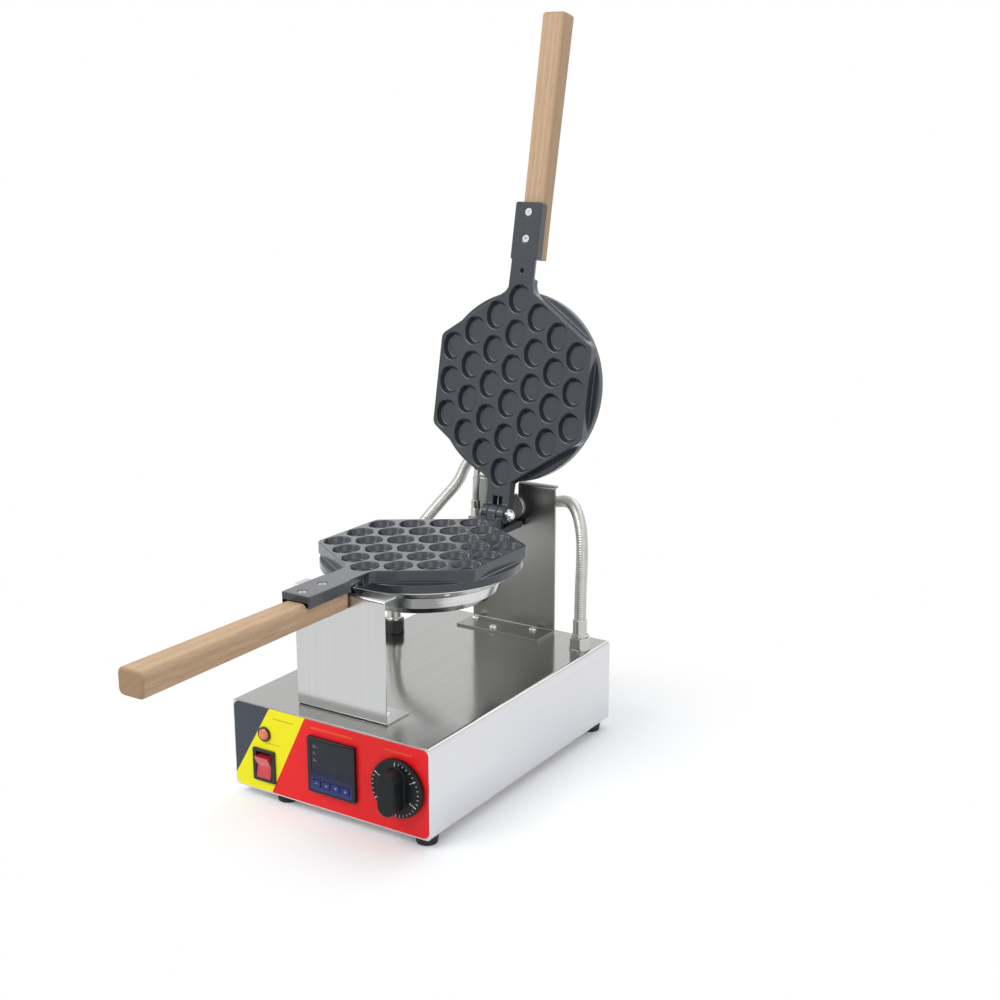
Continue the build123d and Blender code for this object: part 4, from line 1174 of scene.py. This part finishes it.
@dataclass
class SubAssembly:
    """Pieces that are made together and reported together."""

    made: list = field(default_factory=list, init=False)

    def keep(self, piece: bpy.types.Object, body: str) -> bpy.types.Object:
        """Lets a piece ride on its body and notes it for the report.

        Args:
            piece: The piece.
            body: The body.

        Returns:
            The piece.
        """
        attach(piece, body)
        self.made.append(piece)
        return piece

    def finished(
        self,
        node: str,
        finish: Finish,
        edge: float = 0.25,
        sharp: float = SHARP_TURN,
        segments: int = 2,
        cutter: bmesh.types.BMesh | None = None,
    ) -> bpy.types.Object:
        """A CAD node's own shape with broken edges, smooth round faces and its finish.

        Args:
            node: The CAD node that the piece stands for.
            finish: What its surface is.
            edge: Width of the broken edges, in millimetres.
            sharp: The turn above which an edge counts as one, in degrees.
            segments: Faces across each broken edge.
            cutter: A closed shape that is first cut out of it.

        Returns:
            The piece.
        """
        mesh = to_mesh(node, node_shape(node), sharp)
        if cutter is not None:
            mesh = carved(mesh, cutter)
            mesh.set_sharp_from_angle(angle=math.radians(sharp))
        piece = show(f"{node}_finished", mesh, finish)
        if edge:
            broken = piece.modifiers.new("broken_edges", "BEVEL")
            broken.width = edge * MM
            broken.segments = segments
            broken.limit_method = "ANGLE"
            broken.angle_limit = math.radians(sharp)
            broken.use_clamp_overlap = False
            even = piece.modifiers.new("even_normals", "WEIGHTED_NORMAL")
            even.weight = FULL_WEIGHT
            even.keep_sharp = True
        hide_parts(node)
        return self.keep(piece, BODY_OF[node])

    def added(self, name: str, mesh: bpy.types.Mesh, finish: Finish, body: str) -> bpy.types.Object:
        """A piece that the CAD leaves out, riding on a body."""
        return self.keep(show(name, mesh, finish), body)

    def coated(self, node: str, finish: Finish) -> None:
        """Gives a CAD node that stays as it is a finish of its own.

        Args:
            node: The CAD node.
            finish: What its surface is.
        """
        for place in frame["nodes"][node].material_slots:
            place.material = finish.material()
        self.made.append(frame["nodes"][node])

    def build(self) -> None:
        """Makes the sub-assembly's pieces."""
        raise NotImplementedError


# ---------------- conduits


def route_line(name: str, corners: Sequence[Vector]) -> list[Vector]:
    """Points along a smooth route.

    Args:
        name: Name of the route.
        corners: The control points of its spline.

    Returns:
        Closely spaced points from its start to its end.
    """
    curve = bpy.data.curves.new(name, "CURVE")
    curve.dimensions = "3D"
    curve.resolution_u = 32
    spline = curve.splines.new("NURBS")
    spline.points.add(len(corners) - 1)
    for point, corner in zip(spline.points, corners):
        point.co = (*corner, 1.0)
    spline.order_u = 3
    spline.use_endpoint_u = True
    carrier = bpy.data.objects.new(name, curve)
    line = bpy.data.meshes.new_from_object(carrier)
    points = [vertex.co.copy() for vertex in line.vertices]
    bpy.data.objects.remove(carrier)
    return points


def evenly(points: Sequence[Vector], step: float) -> list[Vector]:
    """The same line with its points at even steps.

    Args:
        points: Points along the line.
        step: About how far apart the new ones are, in metres.

    Returns:
        The new points, with both ends kept.
    """
    line = np.array([tuple(point) for point in points])
    runs = np.linalg.norm(np.diff(line, axis=0), axis=1)
    along = np.concatenate([[0.0], np.cumsum(runs)])
    count = max(2, round(along[-1] / step))
    wanted = np.linspace(0.0, along[-1], count + 1)
    columns = [np.interp(wanted, along, line[:, axis]) for axis in range(3)]
    return [Vector([float(part) for part in point]) for point in zip(*columns)]


def length_of(line: Sequence[Vector]) -> float:
    """The length of a line of points, in metres."""
    return sum((after - before).length for before, after in zip(line, line[1:]))


def swept_tube(points: Sequence[Vector], radius: Callable[[float], float], sides: int) -> bmesh.types.BMesh:
    """A closed tube that follows a line.

    Args:
        points: Points along its middle.
        radius: The radius at each share of its length, in metres.
        sides: Faces round it.

    Returns:
        The tube's shape.
    """
    shape = bmesh.new()
    heading = (points[1] - points[0]).normalized()
    place = Matrix.Translation(points[0]) @ heading.to_track_quat("Z", "Y").to_matrix().to_4x4()
    ring = bmesh.ops.create_circle(shape, cap_ends=True, segments=sides, radius=radius(0.0), matrix=place)
    edges = list({edge for vertex in ring["verts"] for edge in vertex.link_edges})
    width = radius(0.0)
    last = len(points) - 1
    for index in range(1, last + 1):
        before, here = points[index - 1], points[index]
        after = points[min(index + 1, last)]
        onward = (after - before).normalized()
        swing = heading.rotation_difference(onward).to_matrix().to_4x4()
        wide = radius(index / last)
        grown = bmesh.ops.extrude_edge_only(shape, edges=edges)["geom"]
        verts = [item for item in grown if isinstance(item, bmesh.types.BMVert)]
        edges = [item for item in grown if isinstance(item, bmesh.types.BMEdge)]
        move = Matrix.Translation(here) @ swing @ Matrix.Scale(wide / width, 4) @ Matrix.Translation(-before)
        bmesh.ops.transform(shape, matrix=move, verts=verts)
        heading, width = onward, wide
    bmesh.ops.contextual_create(shape, geom=edges)
    bmesh.ops.recalc_face_normals(shape, faces=shape.faces)
    return shape


@dataclass
class Conduits(SubAssembly):
    """The two corrugated hoses from the housing to the pan, and the short link at the hinge."""

    diameter: float = 0.011
    rib_pitch: float = 0.0021
    rib_depth: float = 0.00045
    rings_per_rib: int = 4
    sides: int = 20
    right_route: tuple = (
        (86.5, 257.0, 113.0), (86.5, 257.0, 140.0), (87.0, 258.5, 168.0), (84.0, 263.0, 190.0),
        (74.5, 273.0, 205.5), (61.0, 285.5, 211.5), (46.0, 298.0, 209.5), (32.8, 305.2, 205.2),
        (20.0, 305.2, 203.8),
    )
    left_route: tuple = (
        (-85.0, 206.0, 113.0), (-85.0, 206.0, 134.0), (-84.0, 216.0, 158.0), (-79.0, 238.0, 178.0),
        (-69.0, 262.0, 201.0), (-61.0, 281.0, 217.0), (-59.6, 290.6, 232.4), (-51.9, 292.7, 242.5),
    )
    left_parting: float = 0.52
    link_route: tuple = ((-33.5, 268.2, 206.2), (-33.5, 268.2, 217.3), (-33.5, 270.4, 228.1))
    link_diameter: float = 0.006
    link_step: float = 0.001
    link_sides: int = 24

    def line(self, name: str, route: tuple) -> list[Vector]:
        """The points that a hose's rings stand on, a whole number of ribs long.

        Args:
            name: Name of the hose.
            route: Its control points, in millimetres.

        Returns:
            The points from its foot to its top.
        """
        corners = [at(*corner) for corner in route]
        line = evenly(route_line(name, corners), self.rib_pitch / self.rings_per_rib)
        length = length_of(line)
        return evenly(line, length / (round(length / self.rib_pitch) * self.rings_per_rib))

    def stretch(self, name: str, node: str, line: Sequence[Vector], below: str, above: str) -> None:
        """One corrugated stretch of hose along its line.

        Args:
            name: The piece's name.
            node: The CAD node that it stands for.
            line: The points that it follows.
            below: The body at its start; not used.
            above: The body at its end; not used.
        """
        half = self.diameter / 2
        ribs = (len(line) - 1) / self.rings_per_rib

        def radius(share: float) -> float:
            """Crest radius less the groove at this share of the length."""
            return half - self.rib_depth * (0.5 - 0.5 * math.cos(2 * math.pi * ribs * share))

        tube = swept_tube(line, radius, self.sides)
        hose = show(name, to_mesh(name, tube, ROUND_TURN), HOSE_METAL)
        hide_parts(node)
        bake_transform(hose)
        length = length_of(line)
        self.made.append(hose)
        LOG.info("%s is %.1f mm long", name, length / MM)

    def build(self) -> None:
        """The right hose ends on the pan, the left one on the lid, and a short link joins pan and lid."""
        self.stretch("conduit_right", "hose_right", self.line("right", self.right_route), "root", "head")
        left = self.line("left", self.left_route)
        parting = round(self.left_parting * (len(left) - 1) / self.rings_per_rib) * self.rings_per_rib
        self.stretch("conduit_left_foot", "hose_left", left[: parting + 1], "root", "head")
        self.stretch("conduit_left_top", "hose_left", left[parting:], "head", "lid")
        line = evenly(route_line("link", [at(*corner) for corner in self.link_route]), self.link_step)
        tube = swept_tube(line, lambda share: self.link_diameter / 2, self.link_sides)
        link = show("conduit_link", to_mesh("conduit_link", tube, ROUND_TURN), HOSE_METAL)
        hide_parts("link_hose")
        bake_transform(link)
        self.made.append(link)


# ---------------- housing and its parts


@dataclass
class Housing(SubAssembly):
    """The steel case with its feet, bottom plate and what it holds inside."""

    def build(self) -> None:
        """Cover, bottom and feet are finished, and the inner parts get their materials."""
        for node, finish, edge in (
            ("housing_cover", CASE_STEEL, 0.35),
            ("bottom_plate", STEEL_PLAIN, 0.2),
            ("rubber_feet", RUBBER, 0.5),
            ("mains_cord_gland", BLACK_PLASTIC, 0.4),
            ("foot_screws", FASTENER, 0.15),
        ):
            self.finished(node, finish, edge)
        for node in ("heater_relay", "terminal_block", "timer_body"):
            self.coated(node, BAKELITE)
        self.coated("gland_locknuts", FITTING_METAL)


@dataclass
class ControlPanel(SubAssembly):
    """The printed front with its lamp, switch, temperature controller and timer."""

    face_y: float = -0.8
    lamp: tuple = (-65.3, 60.7)
    controller: tuple = (6.0, 47.4)
    screen_front: float = -3.8
    key_front: float = -4.8
    key_height: float = 32.05
    key_pitch: float = 9.8
    knob: tuple = (71.5, 47.8)
    skirt_front: float = -6.6
    tick_inner: float = 19.6
    tick_outer: float = 22.6
    figure_radius: float = 17.4
    figure_height: float = 4.2
    minor_inset: float = 1.4
    minor_half: float = 0.24
    major_half: float = 0.42
    ticks: int = 31
    ticks_per_figure: int = 6
    tick_turn: float = 10.0
    sign_x: float = -18.2
    signs: tuple = ((15.2, 4.6), (9.4, 2.6), (3.4, 3.6))
    sign_rule: float = 0.7
    sign_gap: float = 1.3
    arrow: float = 1.5
    collar: tuple = ((5.35, 0.0), (6.3, 0.0), (6.3, 1.6), (5.9, 2.0), (5.35, 2.0))
    collar_steps: int = 48
    ink: float = 0.06

    def build(self) -> None:
        """Every control is finished, and gets its marks."""
        for node, finish, edge in (
            ("control_panel", PANEL, 0.12),
            ("indicator_lens", LAMP_LENS, 0.0),
            ("indicator_body", BLACK_PLASTIC, 0.2),
            ("switch_frame", BLACK_PLASTIC, 0.4),
            ("switch_rocker", RED_ROCKER, 0.5),
            ("controller_case", FACE_PLASTIC, 0.5),
            ("controller_screen", SCREEN, 0.2),
            *((f"key_{number}", KEY_PLASTIC, 0.3) for number in range(1, 5)),
            ("timer_knob", KNOB_PLASTIC, 0.6),
        ):
            self.finished(node, finish, edge)
        self.lamp_ring()
        self.screen_marks()
        self.key_marks()
        self.dial_marks()

    def lamp_ring(self) -> None:
        """A black collar round the lamp's lens."""
        x, z = self.lamp
        ring = lathed(self.collar, at(x, self.face_y, z), Vector((0, -1, 0)), self.collar_steps)
        self.added("lamp_collar", to_mesh("lamp_collar", ring), BLACK_PLASTIC, "root")

    def screen_marks(self) -> None:
        """Three small unlit signs down the window's left side, each of a long and a short rule."""
        x, z = self.controller
        left = x + self.sign_x
        outlines = []
        for height, width in self.signs:
            for rise, long in ((0.0, width), (self.sign_gap, width * 0.6)):
                low, right = z + height + rise, left + long
                high = low + self.sign_rule
                outlines.append(((left, low), (right, low), (right, high), (left, high)))
        shape = prisms(outlines, self.screen_front - self.ink, self.ink)
        self.added("window_signs", to_mesh("window_signs", shape), GREY_INK, "root")

    def key_marks(self) -> None:
        """A bar on the first key, and arrows to the left, down and up on the others."""
        size, half = self.arrow, self.sign_rule / 2
        foot = size * 0.7
        arrows = {
            1: ((-size, -half), (size, -half), (size, half), (-size, half)),
            2: ((-size, 0.0), (foot, -size), (foot, size)),
            3: ((0.0, -size), (size, foot), (-size, foot)),
            4: ((0.0, size), (-size, -foot), (size, -foot)),
        }
        for number, outline in arrows.items():
            x = self.controller[0] + (number - 2.5) * self.key_pitch
            corners = [(x + right, self.key_height + up) for right, up in outline]
            shape = prisms([corners], self.key_front - self.ink, self.ink)
            name = f"key_sign_{number}"
            self.added(name, to_mesh(name, shape), KEY_INK, BODY_OF[f"key_{number}"])

    def dial_marks(self) -> None:
        """A scale of ticks round the knob's skirt, with a figure for each minute."""
        x, z = self.knob
        outlines = []
        for tick in range(self.ticks):
            major = tick % self.ticks_per_figure == 0
            turn = math.radians(90.0 - self.tick_turn * tick)
            out = Vector((math.cos(turn), math.sin(turn)))
            side = Vector((-out.y, out.x)) * (self.major_half if major else self.minor_half)
            inner = out * (self.tick_inner if major else self.tick_inner + self.minor_inset)
            outer = out * self.tick_outer
            ring = (inner - side, outer - side, outer + side, inner + side)
            outlines.append([(x + corner.x, z + corner.y) for corner in ring])
        shape = prisms(outlines, self.skirt_front - self.ink, self.ink)
        for figure in range(self.ticks // self.ticks_per_figure + 1):
            lean = self.tick_turn * self.ticks_per_figure * figure
            turn = math.radians(90.0 - lean)
            across, up = self.figure_radius * math.cos(turn), self.figure_radius * math.sin(turn)
            place = at(x + across, self.skirt_front, z + up)
            shape.from_mesh(numeral(str(figure), self.figure_height, self.ink, place, lean))
        self.added("dial_scale", to_mesh("dial_scale", shape), WHITE_INK, BODY_OF["timer_knob"])


@dataclass
class Brackets(SubAssembly):
    """The two folded stands and the screws that hold them to the housing."""

    front_screws: tuple = ((-31.0, 38.0, 88.9), (31.0, 38.0, 88.9))
    rear_screws: tuple = ((-37.0, 273.0, 89.4), (-8.0, 259.0, 89.4), (27.0, 273.0, 89.4))
    front_recess: CrossRecess = CrossRecess(width=3.2, arm=0.6, depth=0.9, turn=25.0)
    rear_recess: CrossRecess = CrossRecess(width=3.2, arm=0.6, depth=0.9, turn=41.0)

    def build(self) -> None:
        """Folded sheets with broken edges, and screws with cross recesses."""
        self.finished("front_bracket", STEEL_FRONT, 0.2)
        self.finished("rear_bracket", STEEL_BACK, 0.2)
        for node, places, recess in (
            ("front_bracket_screws", self.front_screws, self.front_recess),
            ("rear_bracket_screws", self.rear_screws, self.rear_recess),
        ):
            self.finished(node, ZINC_SCREW, 0.12, cutter=recess.cutters([at(*place) for place in places]))


class Half(Enum):
    """Which half of the pan."""

    LOWER = "lower"
    UPPER = "upper"


@dataclass
class Pan(SubAssembly):
    """One half of the pan: its mould, handle, heater, mat and cover."""

    half: Half = Half.LOWER
    screw_y: tuple = (-24.0, 0.0)
    screw_sink: float = 0.6
    recess: CrossRecess = CrossRecess(width=3.6, arm=0.8, depth=1.0, turn=33.0)

    def screw_cutter(self) -> bmesh.types.BMesh:
        """What is cut out of the handle screws' heads, which lie just below the arm's face.

        Returns:
            The cutters as one shape.
        """
        cutter = self.recess.cutters([at(0.0, y, PARTING_HEIGHT - self.screw_sink) for y in self.screw_y])
        if self.half is Half.UPPER:
            back = Matrix.Translation(-HINGE)
            swing = Matrix.Translation(HINGE) @ Matrix.Rotation(-OPEN_ANGLE, 4, "X") @ back
            above = Matrix.Translation((0.0, 0.0, 2 * self.screw_sink * MM))
            bmesh.ops.transform(cutter, matrix=swing @ above, verts=cutter.verts)
        return cutter

    def build(self) -> None:
        """The mould, handle and cover are finished, and the hidden parts get their materials."""
        name = self.half.value
        beech, dish = (BEECH_LOWER, LOWER_DISH) if self.half is Half.LOWER else (BEECH_UPPER, UPPER_DISH)
        self.finished(f"{name}_mould", COATING, 0.8, segments=3)
        self.finished(f"{name}_handle", beech, 0.8)
        self.finished(f"{name}_handle_screws", HANDLE_SCREW, 0.12, cutter=self.screw_cutter())
        self.finished(f"{name}_cover", dish, 0.2)
        self.finished(f"{name}_cover_stud", FASTENER, 0.2)
        for part, finish in (("heater", SHEATH), ("insulation", MAT), ("thermocouple", BRASS)):
            self.coated(f"{name}_{part}", finish)


@dataclass
class Pivot(SubAssembly):
    """The roll pivot, the lid's hinge and the hose fittings round them."""

    def build(self) -> None:
        """Small turned and cast parts."""
        self.finished("pivot_hub", DARK_CAST, 0.5)
        for node in ("hub_screws", "pivot_washers", "pivot_nut", "hinge_pin", "hinge_dome_nut"):
            self.finished(node, FASTENER, 0.2)
        self.finished("gland_bodies", GLANDS, 0.3)
        for node in ("hose_ferrules", "elbow_connector", "link_connector", "lid_connectors"):
            self.finished(node, FITTING_METAL, 0.3)


# ---------------- studio


@dataclass
class Studio:
    """Camera, floor and light."""

    azimuth: float = 32.4
    elevation: float = 14.37
    aim: Vector = field(default_factory=lambda: at(68.06, 150.77, 245.19))
    distance: float = 1.22588
    lens: float = 53.14
    sensor: float = 36.0
    clipping: tuple = (0.05, 50.0)
    sky: Colour = (0.95, 0.97, 1.0)
    sky_power: float = 0.7
    floor_size: float = 8.0
    paper: tuple = ((0.95, 0.95, 0.95), (0.93, 0.93, 0.93))
    unseen_paper: Colour = (0.6, 0.6, 0.61)
    paper_lift: float = 0.07
    fibres: Pattern = Pattern(400.0, 3.0, 0.6)
    fade: tuple = (0.1, 0.2)

    def camera(self) -> None:
        """A level camera in front, to the right of and a little above the machine."""
        turn, tilt = math.radians(self.azimuth), math.radians(self.elevation)
        back = Vector((math.sin(turn) * math.cos(tilt), -math.cos(turn) * math.cos(tilt), math.sin(tilt)))
        data = bpy.data.cameras.new("view")
        data.lens = self.lens
        data.sensor_width = self.sensor
        data.clip_start, data.clip_end = self.clipping
        camera = placed("view", data)
        camera.location = self.aim + back * self.distance
        self.point(camera, -back)
        bpy.context.scene.camera = camera

    def point(self, thing: bpy.types.Object, way: Vector) -> None:
        """Turns a camera or lamp to look a way."""
        thing.rotation_mode = "QUATERNION"
        thing.rotation_quaternion = way.to_track_quat("-Z", "Y")

    def world(self) -> None:
        """White to the eye and in reflections, and an even soft light on everything else."""
        world = bpy.data.worlds.new("studio_world")
        world.use_nodes = True
        bpy.context.scene.world = world
        graph = Graph(world.node_tree)
        seen = graph.rays("Is Camera Ray", "Is Glossy Ray", "Is Transmission Ray")
        white = graph.node("ShaderNodeBackground", {}, {"Color": WHITE, "Strength": 1.0})
        soft = graph.node("ShaderNodeBackground", {}, {"Color": self.sky, "Strength": self.sky_power})
        graph.node("ShaderNodeOutputWorld", {}, {"Surface": graph.either(seen, soft, white)})

    def floor(self) -> None:
        """A pale sweep that keeps the machine's shadow and runs out into white."""
        shape = bmesh.new()
        bmesh.ops.create_grid(shape, x_segments=2, y_segments=2, size=self.floor_size)
        shade = Shade("floor_paper")
        x, y, _ = shade.axes()
        middle = (HOUSING_LOW + HOUSING_HIGH) / 2
        half = (HOUSING_HIGH - HOUSING_LOW) / 2
        beside = (abs(x - middle.x) - half.x).higher(0.0)
        beyond = (abs(y - middle.y) - half.y).higher(0.0)
        away = (beside * beside + beyond * beyond) ** 0.5
        seen = shade.rays("Is Camera Ray", "Is Glossy Ray")
        paper = shade.blend(shade.noise(self.fibres), *self.paper)
        shade.set(
            Base_Color=shade.blend(seen, self.unseen_paper, paper),
            Roughness=0.9,
            Specular_IOR_Level=0.1,
            Emission_Color=WHITE,
            Emission_Strength=seen * self.paper_lift,
        )
        glow = shade.node("ShaderNodeEmission", {}, {"Color": WHITE, "Strength": 1.0})
        ground = shade.either(away.above(*self.fade) * seen, shade.surface, glow)
        shade.feed(shade.output.inputs["Surface"], ground)
        mesh = to_mesh("floor", shape)
        mesh.materials.append(shade.material)
        floor = placed("floor", mesh)

    def lamp(self, name: str, place: tuple, target: tuple, size: float, power: float) -> None:
        """One large soft lamp.

        Args:
            name: Its name.
            place: Where it hangs, in metres.
            target: Where it points.
            size: Its width, in metres.
            power: Its power, in watts.
        """
        data = bpy.data.lights.new(name, "AREA")
        data.shape = "SQUARE"
        data.size = size
        data.energy = power
        lamp = placed(name, data)
        lamp.location = place
        self.point(lamp, Vector(target) - Vector(place))

    def build(self) -> None:
        """Floor and light: a broad key from above left, a fill from the right and a lift from behind."""
        self.world()
        self.floor()
        self.lamp("key", (-0.7, -1.4, 1.9), (0.0, 0.0, 0.15), size=1.2, power=25.0)
        self.lamp("fill", (1.8, -0.6, 1.0), (0.0, 0.0, 0.2), size=1.2, power=4.0)
        self.lamp("lift", (0.2, 1.6, 1.8), (0.0, 0.0, 0.25), size=1.4, power=8.0)


def main() -> None:
    """Builds the machine's looks in order and reports each piece."""
    bpy.context.scene.view_settings.view_transform = "Standard"
    studio = Studio()
    studio.camera()
    halves = [Pan(half=half) for half in Half]
    for assembly in (Conduits(), Housing(), ControlPanel(), Brackets(), *halves, Pivot()):
        assembly.build()
        LOG.info("%s: %s", type(assembly).__name__, ", ".join(piece.name for piece in assembly.made))
    studio.build()


if __name__ == "__main__":
    main()
